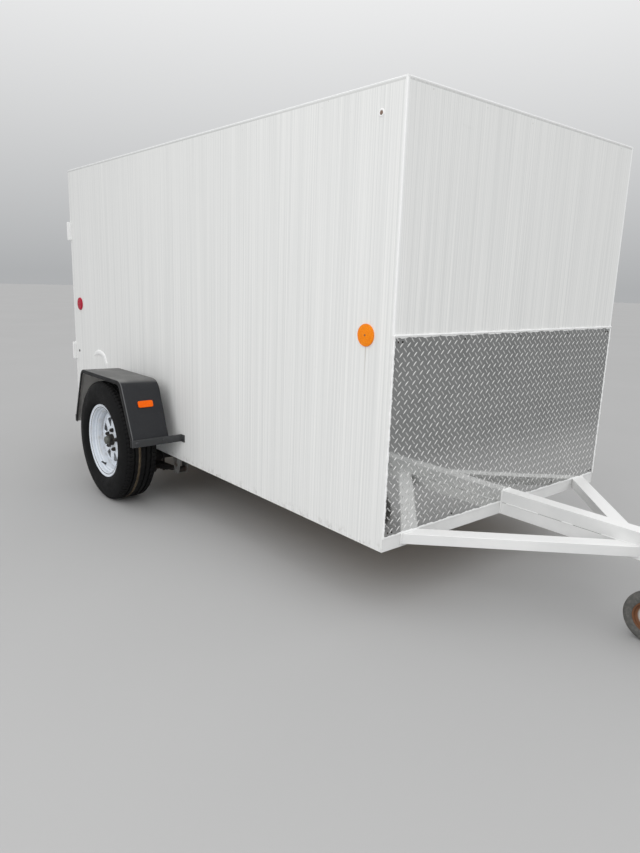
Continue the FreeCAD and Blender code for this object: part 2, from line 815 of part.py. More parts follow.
def cross_bolt(x, z):
    """Bolt across a spring, with a hexagon head at each end."""
    out = side_gap + hanger_plate + bolt_head_height
    pieces = [rod(V(x, spring_out - out, z), V(x, spring_in + out, z), eye_bolt_radius)]
    for face, way in ((spring_out, -1), (spring_in, 1)):
        seat = face + way * (side_gap + hanger_plate)
        pieces.append(plate_xz(hexagon(x, z, bolt_head_radius, 0), seat,
                               seat + way * bolt_head_height))
    return pieces


def cheeks(corners):
    """Two equal plates, one on each side of the spring."""
    plates = []
    for face, way in ((spring_out, -1), (spring_in, 1)):
        near = face + way * side_gap
        plates.append(plate_xz(corners, near, near + way * hanger_plate))
    return plates


def spring_mounts():
    """Front hangers, rear lugs with their shackles, all bolted through the eyes."""
    hanger = [(eye_front - hanger_foot, eye_z - hanger_foot, hanger_corner),
              (eye_front + hanger_foot, eye_z - hanger_foot, hanger_corner),
              (eye_front + hanger_front, base_z, 0), (eye_front - hanger_back, base_z, 0)]
    front = joined(cheeks(hanger) + cross_bolt(eye_front, eye_z))

    pivot_x = eye_back - shackle_lean
    pivot_z = eye_z + math.sqrt(shackle_length ** 2 - shackle_lean ** 2)
    lug = plate_xz([(pivot_x - hanger_foot, pivot_z - shackle_half_width, hanger_corner),
                    (pivot_x + hanger_foot, pivot_z - shackle_half_width, hanger_corner),
                    (pivot_x + lug_foot, base_z, 0), (pivot_x - lug_foot, base_z, 0)],
                   spring_out + lug_plate_inset, spring_in - lug_plate_inset)
    lug = lug.cut(rod(V(pivot_x, spring_out, pivot_z), V(pivot_x, spring_in, pivot_z),
                      eye_bolt_radius + eye_bolt_gap))
    save_both("spring_hangers", front, lug)

    lean = math.atan2(-shackle_lean, pivot_z - eye_z)
    plan = rectangle(-shackle_half_width, shackle_half_width, -shackle_half_width,
                     shackle_length + shackle_half_width, hanger_corner)
    turned_plan = [(eye_back + u * math.cos(lean) + v * math.sin(lean),
                    eye_z - u * math.sin(lean) + v * math.cos(lean), radius)
                   for u, v, radius in plan]
    save_both("spring_shackles", joined(cheeks(turned_plan) + cross_bolt(pivot_x, pivot_z)
                                        + cross_bolt(eye_back, eye_z)))


def spring_clamps():
    """Plate under the leaves, hooped rods over the axle tube, and the seat between them."""
    stack = len(leaf_shares) * (leaf_thickness + leaf_gap)
    plate_top = leaf_top - stack
    plate_low = plate_top - clamp_plate
    half_rod = clamp_rod / 2
    inner = axle_tube_radius + side_gap
    outer = inner + clamp_rod
    rows = (spring_out - half_rod - clamp_rod_gap, spring_in + half_rod + clamp_rod_gap)
    margin = clamp_plate_margin
    pieces = [block(axle_x - outer - margin, axle_x + outer + margin, rows[0] - margin,
                    rows[1] + margin, plate_low, plate_top)]
    for y in rows:
        back, front = V(axle_x, y - half_rod, tube_z), V(axle_x, y + half_rod, tube_z)
        below = block(axle_x - outer - overcut, axle_x + outer + overcut, back.y, front.y,
                      tube_z - outer - overcut, tube_z)
        pieces.append(rod(back, front, outer).cut(rod(back, front, inner)).cut(below))
        for x in (axle_x - inner - half_rod, axle_x + inner + half_rod):
            pieces.append(block(x - half_rod, x + half_rod, back.y, front.y,
                                plate_low - clamp_rod_end, tube_z))
            pieces.append(block(x - clamp_nut_radius, x + clamp_nut_radius, y - clamp_nut_radius,
                                y + clamp_nut_radius, plate_low - clamp_nut_height, plate_low))
    pad_sag = pad_half_length ** 2 / (2 * spring_radius) + leaf_gap
    pad = block(axle_x - pad_half_length, axle_x + pad_half_length, spring_out + pad_inset,
                spring_in - pad_inset, leaf_top + pad_sag, tube_z)
    tube = rod(V(axle_x, spring_out, tube_z), V(axle_x, spring_in, tube_z),
               axle_tube_radius + side_gap)
    save_both("spring_clamps", joined(pieces), pad.cut(tube))


def fender_profile(inset, foot):
    """Arch of a fender, laid inside the outer form by inset and cut off at foot."""
    rise = fender_top - fender_bottom
    run = fender_half_base - fender_half_top
    shift = inset * math.hypot(rise, run) / rise
    half_top = fender_half_top - shift + run / rise * inset
    half_base = fender_half_base - shift
    top = base_z + fender_top - inset
    bend = base_z + fender_bottom
    radius = max(fender_corner - inset, fender_corner_least)
    return [(axle_x - half_base, foot, 0), (axle_x - half_base, bend, 0),
            (axle_x - half_top, top, radius), (axle_x + half_top, top, radius),
            (axle_x + half_base, bend, 0), (axle_x + half_base, foot, 0)]


def fenders():
    """Folded sheet fenders with a turned-down outer lip, and the bars that hold their ends."""
    wall = -half_width
    inner = wall - fender_gap
    edge = inner - fender_width
    foot = base_z + fender_bottom - fender_flange
    below = foot - overcut
    shell = plate_xz(fender_profile(0, foot), edge, inner)
    under = plate_xz(fender_profile(fender_sheet, below), edge - overcut, inner + overcut)
    lip = plate_xz(fender_profile(0, foot), edge, edge + fender_sheet)
    lip_hole = plate_xz(fender_profile(fender_lip, below), edge - overcut,
                        edge + fender_sheet + overcut)
    save_pair("fender", joined([shell.cut(under), lip.cut(lip_hole)]))

    bars = []
    for way in (-1, 1):
        face = axle_x + way * fender_half_base
        bar = block(face, face + way * bracket_bar, edge, wall, foot, foot + bracket_height)
        bar_foot = block(face, face + way * bracket_foot, wall - bracket_bar, wall,
                         foot, foot + bracket_height)
        bars.append(joined([bar, bar_foot]))
    save_both("fender_brackets", *bars)


def lamps():
    """Round side reflectors, fender reflectors and the tail lamps."""
    wall = -half_width
    rounds = {"reflectors_amber": (px(-amber_setback), amber_height),
              "reflectors_red": (rear_x + red_setback, red_height)}
    for name, (x, height) in rounds.items():
        middle = V(x, wall, base_z + height)
        save_both(name, rod(middle, middle - V(0, reflector_thickness, 0), reflector_radius))

    rise = fender_top - fender_bottom
    run = fender_half_base - fender_half_top
    slope = math.atan2(rise, run)
    middle_y = wall - fender_gap - fender_reflector_offset
    lens = rectangle(-fender_reflector_length / 2, fender_reflector_length / 2,
                     -fender_reflector_height / 2, fender_reflector_height / 2, lens_corner)
    for name, way in (("fender_reflectors_front", 1), ("fender_reflectors_rear", -1)):
        along = V(way * math.cos(slope), 0, -math.sin(slope))
        out = V(way * math.sin(slope), 0, math.cos(slope))
        top = V(axle_x + way * fender_half_top, middle_y, base_z + fender_top)
        centre = top + along * (math.hypot(rise, run) * fender_reflector_share)
        face = outline(lens, lambda u, v: centre + V(0, u, 0) + along * v)
        save_both(name, face.extrude(out * fender_reflector_thickness))

    low = base_z + (frame_depth - tail_lamp_height) / 2
    outer = rail_outer - tail_lamp_inset
    save_both("tail_lamps", plate_yz(rectangle(-outer, tail_lamp_length - outer, low,
                                               low + tail_lamp_height, lens_corner),
                                     rear_x - tail_lamp_depth, rear_x))


os.makedirs("parts", exist_ok=True)
frame()
box_panels()
trims()
rear_frame()
doors()
hinges()
lock_bars()
tongue()
coupler()
jack()
tyres()
rims()
hubs()
axle()
springs()
spring_mounts()
spring_clamps()
fenders()
lamps()
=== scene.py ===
"""Looks of the enclosed box trailer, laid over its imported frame.

Metres, in the part's own frame: +X to the hitch, +Y left, +Z up, floor at z = 0. Pieces of the
right-hand side are worked out at negative y, and mirrored() makes their left-hand twins.
"""
import json
import math

import bmesh
import bpy
import numpy as np
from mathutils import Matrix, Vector

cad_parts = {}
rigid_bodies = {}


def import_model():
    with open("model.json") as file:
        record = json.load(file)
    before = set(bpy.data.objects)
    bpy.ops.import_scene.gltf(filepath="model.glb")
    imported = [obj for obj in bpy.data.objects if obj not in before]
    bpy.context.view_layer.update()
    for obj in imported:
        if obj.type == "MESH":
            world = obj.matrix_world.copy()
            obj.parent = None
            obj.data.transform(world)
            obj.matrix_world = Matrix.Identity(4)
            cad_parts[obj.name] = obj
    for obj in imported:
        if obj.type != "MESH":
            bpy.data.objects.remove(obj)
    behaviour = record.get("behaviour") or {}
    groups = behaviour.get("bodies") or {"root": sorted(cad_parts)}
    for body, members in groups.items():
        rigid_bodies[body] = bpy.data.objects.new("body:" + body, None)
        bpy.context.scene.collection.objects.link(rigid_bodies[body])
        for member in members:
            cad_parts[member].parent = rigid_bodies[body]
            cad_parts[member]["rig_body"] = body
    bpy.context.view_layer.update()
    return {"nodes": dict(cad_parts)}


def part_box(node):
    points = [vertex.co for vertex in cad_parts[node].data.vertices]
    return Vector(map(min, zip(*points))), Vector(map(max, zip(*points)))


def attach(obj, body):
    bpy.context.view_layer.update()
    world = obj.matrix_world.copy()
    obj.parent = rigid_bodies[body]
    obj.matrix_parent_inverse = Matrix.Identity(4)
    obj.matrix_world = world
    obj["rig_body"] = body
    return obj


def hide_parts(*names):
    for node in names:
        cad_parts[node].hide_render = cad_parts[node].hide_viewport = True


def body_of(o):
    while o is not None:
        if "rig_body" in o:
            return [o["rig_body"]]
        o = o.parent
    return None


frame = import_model()

# Camera, as the photograph was taken
camera_place = (2.5825, -2.475, 1.272)
camera_turn_deg = (77.365, -1.83, 49.963)
focal_pixels = 657.95
picture_height = 853
sensor_side = 36.0

# Studio: lamps as name, place, power and size
floor_half = 60.0
lamp_aim = Vector((0, 0, 0.8))
lamps = (("key", (2.6, -6.0, 3.4), 125.0, 5.0), ("fill", (7.0, 1.0, 4.5), 45.0, 5.0))

# Places that the frame gives
wall_low, wall_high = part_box("wall_right")
plate_low, plate_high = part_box("tread_plate")
tyre_low, tyre_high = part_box("tyre_right")
fender_low, fender_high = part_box("fender_right")
coupler_low, coupler_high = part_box("coupler")
caster_low, caster_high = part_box("jack_wheel_tyre")
hub_low, hub_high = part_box("hub_right")
box_front = wall_high.x
box_rear = wall_low.x
sill = wall_low.z
half_width = -wall_low.y
wheel_centre = np.array((tyre_low + tyre_high) / 2)
tyre_radius = (tyre_high.z - tyre_low.z) / 2
tyre_half = (tyre_high.y - tyre_low.y) / 2
arch_middle = (fender_high.x + fender_low.x) / 2
arch_half = (fender_high.x - fender_low.x) / 2
caster_centre = np.array((caster_low + caster_high) / 2)

# Edges that turn by more than these many degrees stay sharp, and are rounded where they are eased
crease_angle = 38.0
bevel_angle = 32.0

# Tread plate: bars lean by 45 degrees to either side, in turn
bar_pitch_across = 0.0379
bar_pitch_up = 0.035
bar_length = 0.0265
bar_width = 0.0062
bar_height = 0.0015
bar_margin = 0.009

# Distances within which points are one: in the scene's own pieces, and in the solids
merge_patch = 2e-6
merge_solid = 1e-5

# Screws of the plate: distances from its top and its foot, places across
plate_screw_top = 0.022
plate_screw_foot = 0.02
plate_screw_places = (-0.757, -0.735, -0.38, 0.0, 0.38, 0.735, 0.757)

# Paint and sealant along the edges
lap_width = 0.008
lap_height = 0.0009
sealant_radius = 0.0046
edge_paint_height = 0.0015
edge_paint_round = 0.003
edge_paint_narrow = 0.0055
edge_paint_wide = 0.01

# Tyre, as offsets from its middle plane and radii
tread_half = 0.0735
groove_depth = 0.008
groove_half = 0.0042
groove_places = (0.018, 0.046)
shoulder_notches = 84
shoulder_notch_depth = 0.005
tyre_steps = 504
shoulder_start = 0.0585
shoulder_end = 0.0835
sipe_depth = 0.0022
bead_half = 0.0777
bead_radius = 0.1905

# Wheel and fender, of the same sheet
window_count = 8
window_start = 15.0
window_inner = 0.077
window_outer = 0.127
window_share = 0.311
window_inner_share = 0.155
sector_columns = 40
disc_offset = 0.027
disc_edge_radius = 0.1675
hub_radius = 0.0322
hub_step = 0.0535
sheet = 0.003
lug_count = 5
lug_start = 10.0
lug_circle = 0.05715
nut_across = 0.0195
valve_angle = -115.0

# Fender: an arch at the wall and one outside, each with its corners' radius and the reach of its
# top ahead of the middle and behind it
fender_top_half = 0.272
fender_bend = sill + 0.15
fender_arches = ((0.062, 0.284, 0.272), (0.04, 0.261, 0.279))
fender_roll = 0.022
bar_bolts = (-1.042, -0.89)
bar_level = sill + 0.132
bar_thickness = 0.006
bar_foot_reach = 0.017

# Lenses
lens_length = 0.084
lens_height = 0.036
lens_depth = 0.008
lens_play = 0.0001
lamp_length = 0.15
flute_pitch = 0.007
flute_depth = 0.0009

# Wall: places are x and z, the bead's ones counted from the box's front and the sill
paint_bead_radius = 0.0165
paint_bead_flatness = 0.4
screw_place = (box_front - 0.114, sill + 1.557)
bolt_hole_place = (box_front - 3.002, sill + 0.459)
paint_bead_line = ((-2.75, 0.451), (-2.663, 0.481), (-2.58, 0.469), (-2.551, 0.433), (-2.525, 0.395))

# Rear doors, their leaves standing behind the box
hinge_height = 0.119
hinge_block_halves = (0.0095, 0.012, hinge_height / 2)
hinge_block_ahead = 0.0025
hinge_block_beside = 0.01
pin_place = 0.761
leaf_reach = 0.006
leaf_bolt_place = 0.044
leaf_bolt_shares = (0.22, 0.78)
strap_bolt_places = (0.095, 0.165)
knuckle_gap = 0.0006
guide_place = 0.06
guide_bolt_gap = 0.0125
guide_shares = (0.14, 0.86)

# Tongue: weld beads' radii, start and length of each stitch along the seam, coupler, jack
coupler_sheet = 0.004
weld_step = 0.0045
weld_radius = 0.004
weld_radius_small = 0.0035
stitch_radius = 0.0026
seam_radius = 0.0013
seam_depth = 0.0016
stitches = ((0.03, 0.16), (0.3, 0.05), (0.47, 0.11), (0.7, 0.05), (0.84, 0.09))
ball_head = 0.036
coupler_bolt_places = (0.0304, 0.0988)
coupler_bolt_height = 0.026
jack_radius = 0.0283
jack_bolt_gaps = (0.034, 0.03)

Z = np.array([0.0, 0.0, 1.0])
Y = np.array([0.0, 1.0, 0.0])
X = np.array([1.0, 0.0, 0.0])


def adjusted(thing, **settings):
    """The same thing with its settings made."""
    for name, value in settings.items():
        setattr(thing, name, value)
    return thing


def maths(operation, reflected=False):
    """Method of Value that adds a Math node of one operation. Reflected swaps its two terms."""
    def method(value, *others):
        terms = (*others, value) if reflected else (value, *others)
        return value.finish.add("ShaderNodeMath", {"operation": operation}, dict(enumerate(terms)))
    return method


class Value:
    """Output of a node. Arithmetic on it, with numbers or values on either side, adds Math nodes."""

    def __init__(self, finish, socket):
        self.finish = finish
        self.socket = socket

    __add__ = __radd__ = maths("ADD")
    __sub__ = maths("SUBTRACT")
    __rsub__ = maths("SUBTRACT", reflected=True)
    __mul__ = __rmul__ = maths("MULTIPLY")
    __truediv__ = maths("DIVIDE")
    __pow__ = maths("POWER")
    __gt__ = maths("GREATER_THAN")
    __lt__ = maths("LESS_THAN")
    __abs__ = maths("ABSOLUTE")
    sine = maths("SINE")

    def within(self, low, high):
        """0 at low, 1 at high and smooth between them."""
        settings = {"interpolation_type": "SMOOTHSTEP"}
        return self.finish.add("ShaderNodeMapRange", settings, {"Value": self, 1: low, 2: high})

    def near(self, centre, reach):
        """1 at centre, fading to 0 at reach on either side."""
        return 1 - abs(self - centre).within(0.0, reach)


class Finish:
    """A material or the sky: add() makes any node, and the others are short names for common ones."""

    def __init__(self, name, sky=False):
        self.owner = (bpy.data.worlds if sky else bpy.data.materials).new(name)
        self.owner.use_nodes = True
        self.tree = self.owner.node_tree
        self.tree.nodes.clear()
        self.place = self.add("ShaderNodeTexCoord", output="Generated" if sky else "Object")
        split = self.add("ShaderNodeSeparateXYZ", inputs={0: self.place}).socket.node
        self.x, self.y, self.z = (Value(self, out) for out in split.outputs)

    def add(self, kind, settings=None, inputs=None, output=0):
        """Node of any kind: its settings come first, then values or links of its sockets."""
        node = adjusted(self.tree.nodes.new(kind), **(settings or {}))
        for name, value in (inputs or {}).items():
            if isinstance(value, Value):
                self.tree.links.new(value.socket, node.inputs[name])
            else:
                node.inputs[name].default_value = value
        return Value(self, node.outputs[output])

    def mix(self, mask, first, second):
        """Colour that goes from first, where mask is 0, to second, where it is 1."""
        first, second = (tone if isinstance(tone, Value) else (*tone, 1.0) for tone in (first, second))
        return self.add("ShaderNodeMix", {"data_type": "RGBA"}, {0: mask, 6: first, 7: second}, 2)

    def coated(self, tone, *coats):
        """Colour of a first tone under coats, each with its mask and its tone."""
        for mask, coat in coats:
            tone = self.mix(mask, tone, coat)
        return tone

    def vector(self, x, y, z):
        """Vector of three values or numbers."""
        return self.add("ShaderNodeCombineXYZ", inputs={0: x, 1: y, 2: z})

    def noise(self, scale, detail=3.0, vector=None, roughness=0.55):
        """Noise from 0 to 1 over the object's place or over another vector."""
        inputs = {"Vector": vector or self.place, "Scale": scale, "Detail": detail, "Roughness": roughness}
        return self.add("ShaderNodeTexNoise", inputs=inputs)

    def cells(self, scale):
        """Distance to the nearest of scattered points."""
        return self.add("ShaderNodeTexVoronoi", inputs={"Vector": self.place, "Scale": scale})

    def bump(self, height, distance, strength=1.0):
        """Normal that leans as a relief of this height would."""
        inputs = {"Height": height, "Distance": distance, "Strength": strength}
        return self.add("ShaderNodeBump", inputs=inputs)

    def facing(self, axis=2):
        """Share of the surface's normal along an axis, upward unless told otherwise."""
        normal = self.add("ShaderNodeNewGeometry", output="Normal")
        return self.add("ShaderNodeSeparateXYZ", inputs={0: normal}, output=axis)

    def radius(self, centre):
        """Distance from a line along y through centre."""
        return ((self.x - centre[0]) ** 2.0 + (self.z - centre[2]) ** 2.0) ** 0.5

    def done(self, **sockets):
        """Principled shader with these sockets, linked to the output; returns the material."""
        inputs = {name.replace("_", " "): value for name, value in sockets.items()}
        return self.send(self.add("ShaderNodeBsdfPrincipled", inputs=inputs), "Material")

    def send(self, shader, kind):
        """Links a shader to the output and returns the material or the sky."""
        out = self.tree.nodes.new(f"ShaderNodeOutput{kind}")
        self.tree.links.new(shader.socket, out.inputs["Surface"])
        return self.owner


def combed_paint(name, lengthwise=False):
    """White paint over a sheet combed in fine grooves, upright or along x; bare plywood inside."""
    f = Finish(name)
    across = f.y if lengthwise else f.x + f.y
    along = f.x if lengthwise else f.z
    wobble = across + (f.noise(1.0, 2.0, f.vector(across * 5.0, 5.0, along * 2.0)) - 0.5) * 0.004
    fine = f.noise(1.0, 1.0, f.vector(wobble * 260.0, 0.0, along * 0.6)).within(0.34, 0.66)
    ridges = f.noise(1.0, 1.0, f.vector(wobble * 140.0, 7.0, along * 0.4)).within(0.3, 0.7)
    broad = f.noise(1.0, 3.0, f.vector(wobble * 16.0, 3.0, along * 0.8)).within(0.3, 0.7)
    stripes = fine * 0.5 + ridges * 0.42 + broad * 0.08
    marks = f.noise(1.0, 4.0, f.vector(across * 7.0, 1.0, along * 30.0)).within(0.64, 0.82)
    # The roof's paint is painted darker than the walls': painted shade against its stronger light from above.
    roof_painted_shade = 0.8 if lengthwise else 1.0
    groove, ridge = (tuple(roof_painted_shade * part for part in tone)
                     for tone in ((0.72, 0.728, 0.72), (0.88, 0.883, 0.87)))
    dirt = (1 - (f.z - sill).within(0.0, 0.05)) * f.noise(38.0, 5.0).within(0.5, 0.72)
    crown = (f.z - wall_high.z).within(-0.035, -0.012) * (1 - lengthwise)
    flecks = crown * (f.cells(60.0) < 0.16) * f.noise(22.0, 2.0).within(0.5, 0.62)
    drip = (f.x - (box_front - 0.1385)).near(0.0, 0.0022) * (f.z - sill).within(0.6, 0.76)
    drip = drip * ((f.z - sill) < 0.77) * (f.y < -half_width + 0.004)
    inside = (abs(f.y) < half_width - 0.012) * (f.x < box_front - 0.012) * (f.z < wall_high.z - 0.004)
    inside = inside * (f.x > box_rear + 0.045)
    grain = f.noise(1.0, 5.0, f.vector(f.x * 2.0, f.y * 2.0, f.z * 34.0))
    wood = f.mix(grain, (0.5, 0.34, 0.19), (0.68, 0.52, 0.33))
    colour = f.coated(groove, (stripes, ridge), (marks * 0.16, (0.6, 0.6, 0.58)),
                      (dirt * 0.4 + flecks * 0.45, (0.33, 0.31, 0.28)),
                      (drip * 0.7, (0.33, 0.24, 0.16)), (inside, wood))
    relief = (stripes + marks * 0.1) * (1 - inside * 0.8)
    return f.done(Base_Color=colour, Roughness=0.42 + stripes * 0.1 + inside * 0.2,
                  Normal=f.bump(relief, 0.0006, 0.6))


def brushed_enamel(name):
    """White enamel brushed on steel: painted lighter on top faces as painted light from above, grime low down
    and chips at random.
    """
    f = Finish(name)
    strokes = f.noise(1.0, 4.0, f.vector(f.x * 9.0, f.y * 60.0, f.z * 60.0))
    cloud = f.noise(5.0, 4.0)
    grime = f.noise(24.0, 6.0).within(0.58, 0.78) * (1 - (f.z - sill).within(-0.12, 0.02))
    chips = f.cells(31.0) < 0.045
    # Upward faces are painted lighter than the sides: painted light from above.
    colour = f.coated((0.77, 0.775, 0.77), (cloud.within(0.35, 0.7), (0.83, 0.832, 0.825)),
                      (f.facing().within(0.5, 0.9) * 0.8, (0.95, 0.95, 0.945)),
                      (grime * 0.35, (0.4, 0.37, 0.33)),
                      (chips * f.noise(3.0).within(0.56, 0.64), (0.2, 0.12, 0.08)))
    return f.done(Base_Color=colour, Roughness=0.3 + cloud * 0.16 + grime * 0.2,
                  Normal=f.bump(strokes - chips * 0.5, 0.0004, 0.5), Coat_Weight=0.25, Coat_Roughness=0.18)


def bright_aluminium():
    """Mill-bright sheet: mirror-like, a little wavy, finely scratched and dusty towards its foot; painted
    darker above and lighter at its foot as a painted reflection, its bars painted paler as a painted sheen.
    """
    f = Finish("bright_aluminium")
    scratches = f.noise(1.0, 6.0, f.vector(f.x, f.y * 14.0, f.z * 300.0)).within(0.45, 0.75)
    smears = f.noise(9.0, 5.0).within(0.4, 0.75)
    dust = f.noise(60.0, 5.0).within(0.5, 0.8) * (1 - (f.z - plate_low.z).within(0.0, 0.22))
    # Bars painted paler and rougher than the sheet: a painted sheen that stands in for their bright
    # reflections.
    painted_bar_sheen = f.x.within(plate_high.x + 0.0001, plate_high.x + 0.0006)
    # Upper part of the plate painted darker, its foot lighter: a painted reflection of the tongue in the
    # sheet.
    painted_reflection_falloff = (f.z - plate_low.z).within(0.1, 0.38) * (0.85 + smears * 0.15)
    colour = f.coated((0.58, 0.585, 0.58), (painted_reflection_falloff, (0.33, 0.338, 0.336)), (painted_bar_sheen, (0.84, 0.84, 0.83)),
                      (dust * 0.5 * (1 - painted_bar_sheen), (0.36, 0.34, 0.3)))
    return f.done(Base_Color=colour, Metallic=1.0 - dust * 0.3,
                  Roughness=0.03 + scratches * 0.03 + smears * 0.03 + dust * 0.2 + painted_bar_sheen * 0.16,
                  Normal=f.bump(f.noise(2.6, 1.0) * 5.0 + scratches * 0.02, 0.001, 0.5))


def plywood():
    """Sanded plywood floor: long grain along x, darker late wood and a few worn paths."""
    f = Finish("plywood")
    grain = f.noise(1.0, 6.0, f.vector(f.x * 1.6, f.y * 26.0, f.z * 26.0))
    waves = {"Vector": f.place, "Scale": 7.0, "Distortion": 9.0, "Detail": 3.0, "Detail Scale": 0.7}
    rings = f.add("ShaderNodeTexWave", {"wave_type": "BANDS", "bands_direction": "Y"}, waves, "Fac")
    colour = f.coated((0.42, 0.28, 0.15), (grain, (0.66, 0.5, 0.31)), (rings * 0.35, (0.36, 0.22, 0.11)),
                      (f.noise(3.0, 4.0).within(0.5, 0.75) * 0.5, (0.3, 0.24, 0.18)))
    return f.done(Base_Color=colour, Roughness=0.62 + grain * 0.15, Normal=f.bump(grain, 0.0006))


def charcoal_paint():
    """Dark grey moulded fender: fine stipple, dust and painted light on its upper side and inside, paler
    edges at the crease that are worn and painted with a highlight, and its rolled lip painted darker as
    painted shade.
    """
    f = Finish("charcoal_paint")
    up = f.facing()
    outward = (f.x - arch_middle) / arch_half * f.facing(0) + up
    smudge = f.noise(11.0, 5.0).within(0.42, 0.72)
    # Upward faces paler: dust, and painted light from the sky on top.
    top_dust_and_light = up.within(0.75, 0.99) * (0.6 + smudge * 0.4)
    from_edge = abs(fender_low.y) - abs(f.y)
    # Inside of the fender paler: dust, painted paler still as painted light where it lies in shade.
    inner_dust_and_light = (0.0 - outward).within(0.15, 0.38) * (from_edge > 0.006)
    # Paler band along the crease: edge wear and a painted highlight.
    rim = from_edge.near(0.006, 0.004) * (1 - top_dust_and_light)
    # Rolled lip painted nearly black: painted shade.
    lip = 1 - from_edge.within(0.0015, 0.0035)
    colour = f.coated((0.02, 0.021, 0.024), (lip, (0.006, 0.006, 0.007)),
                      (rim * (1 - inner_dust_and_light) * 0.6, (0.22, 0.225, 0.23)),
                      (top_dust_and_light * 0.75, (0.27, 0.268, 0.26)),
                      (inner_dust_and_light * (0.75 + smudge * 0.2), (0.56, 0.55, 0.53)),
                      ((f.cells(160.0) < 0.12) * 0.35, (0.22, 0.21, 0.19)))
    return f.done(Base_Color=colour, Roughness=0.52 + smudge * 0.14 + top_dust_and_light * 0.15,
                  Normal=f.bump(f.noise(900.0, 2.0) + smudge * 0.4, 0.0004, 0.5), Specular_IOR_Level=0.3)


def wheel_enamel():
    """Glossy white wheel with brownish road dust in its corners and low in the bowl."""
    f = Finish("wheel_enamel")
    radius = f.radius(wheel_centre)
    film = f.noise(26.0, 5.0).within(0.4, 0.75)
    corner = radius.near(0.168, 0.014) + radius.near(0.188, 0.006) * 0.35
    corner = corner + (1 - radius.within(0.03, 0.06)) * 0.8
    colour = f.coated((0.74, 0.79, 0.86), (film * 0.18, (0.52, 0.52, 0.5)),
                      (corner * (0.15 + film * 0.4), (0.4, 0.38, 0.34)),
                      ((f.cells(120.0) < 0.1) * 0.6, (0.2, 0.16, 0.12)))
    return f.done(Base_Color=colour, Roughness=0.24 + film * 0.25, Normal=f.bump(film, 0.0003, 0.5),
                  Coat_Weight=0.3, Coat_Roughness=0.12)


def tyre_rubber():
    """Black moulded rubber: fine grain, rings on the sidewall, clay dust in one groove."""
    f = Finish("tyre_rubber")
    radius = f.radius(wheel_centre)
    sidewall = abs(abs(f.y) - abs(wheel_centre[1])) > 0.074
    rings = (radius * 900.0).sine().within(0.2, 1.0) * sidewall
    cloud = f.noise(13.0, 5.0).within(0.4, 0.75)
    clay = (wheel_centre[1] - f.y).near(0.018, 0.0095) * (1 - radius.within(0.3345, 0.3385) * 0.45)
    colour = f.coated((0.004, 0.004, 0.0045), (cloud * 0.5, (0.01, 0.0098, 0.0095)),
                      (radius.within(0.333, 0.339) * (0.1 + cloud * 0.2), (0.035, 0.034, 0.032)),
                      (clay * (0.65 + cloud * 0.35) * (radius > 0.32), (0.36, 0.28, 0.19)))
    return f.done(Base_Color=colour, Roughness=0.62 + cloud * 0.22,
                  Normal=f.bump(f.noise(480.0, 3.0) * 0.5 + rings * 0.8, 0.0006, 0.7),
                  Specular_IOR_Level=0.15)


def aged_steel(name, paint, rust, share, roughness=0.62):
    """Painted steel that rusts through: noise past a threshold shows rust, rough and raised."""
    f = Finish(name)
    patches = f.noise(19.0, 6.0, roughness=0.68)
    rusty = patches.within(0.72 - share * 0.42, 0.8 - share * 0.36)
    cloud = f.noise(7.0, 4.0).within(0.3, 0.7)
    tone = f.mix(f.noise(75.0, 4.0), rust, tuple(0.45 * part for part in rust))
    colour = f.coated(paint, (cloud * 0.5, tuple(0.6 * part for part in paint)), (rusty, tone))
    return f.done(Base_Color=colour, Roughness=roughness + rusty * 0.2, Metallic=(1 - rusty) * 0.25,
                  Normal=f.bump(rusty * 0.6 + f.noise(240.0, 3.0) * 0.5, 0.0006, 0.8))


def zinc_plate():
    """Dulled zinc: spangle in soft cells, white bloom and a breath of rust."""
    f = Finish("zinc_plate")
    bloom = f.noise(16.0, 5.0).within(0.5, 0.75)
    rust = f.noise(33.0, 6.0).within(0.64, 0.76)
    colour = f.coated((0.62, 0.63, 0.63), (f.cells(55.0), (0.48, 0.49, 0.5)),
                      (bloom * 0.4, (0.72, 0.72, 0.7)), (rust * 0.7, (0.36, 0.2, 0.1)))
    return f.done(Base_Color=colour, Metallic=0.9 - bloom * 0.3 - rust * 0.6,
                  Roughness=0.34 + bloom * 0.18 + rust * 0.3, Normal=f.bump(f.noise(300.0, 3.0), 0.0002, 0.6))


def lens_plastic(name, deep, bright):
    """Moulded lens: a field of small prisms under a glossy skin, painted in a bright and a deep tone as
    painted glints, and glowing faintly as painted light.
    """
    f = Finish(name)
    prisms = f.cells(330.0)
    # Each prism painted bright at its middle and deep at its edge: painted glints.
    tone = f.mix(prisms.within(0.1, 0.6), bright, deep)
    dust = f.noise(45.0, 4.0).within(0.55, 0.8)
    # The lens glows faintly through its emission: painted light, as it is no lamp.
    return f.done(Base_Color=f.mix(dust * 0.05, tone, (0.45, 0.38, 0.3)), Roughness=0.22 + dust * 0.25,
                  Normal=f.bump(prisms, 0.0004, 0.35), Coat_Weight=0.1, Coat_Roughness=0.08,
                  Specular_IOR_Level=0.12, Emission_Color=tone, Emission_Strength=0.1)


def caster_steel():
    """Pressed caster wheel: pale grey disc with a rusty ring towards its rim."""
    f = Finish("caster_steel")
    ring = f.radius(caster_centre).within(0.038, 0.046)
    patch = f.noise(60.0, 6.0)
    rust = f.mix(patch, (0.22, 0.09, 0.035), (0.12, 0.05, 0.025))
    colour = f.coated((0.55, 0.55, 0.53), (patch.within(0.5, 0.75) * 0.6, (0.4, 0.28, 0.18)), (ring, rust))
    return f.done(Base_Color=colour, Roughness=0.5 + ring * 0.25, Metallic=0.5 - ring * 0.4,
                  Normal=f.bump(patch, 0.0006))


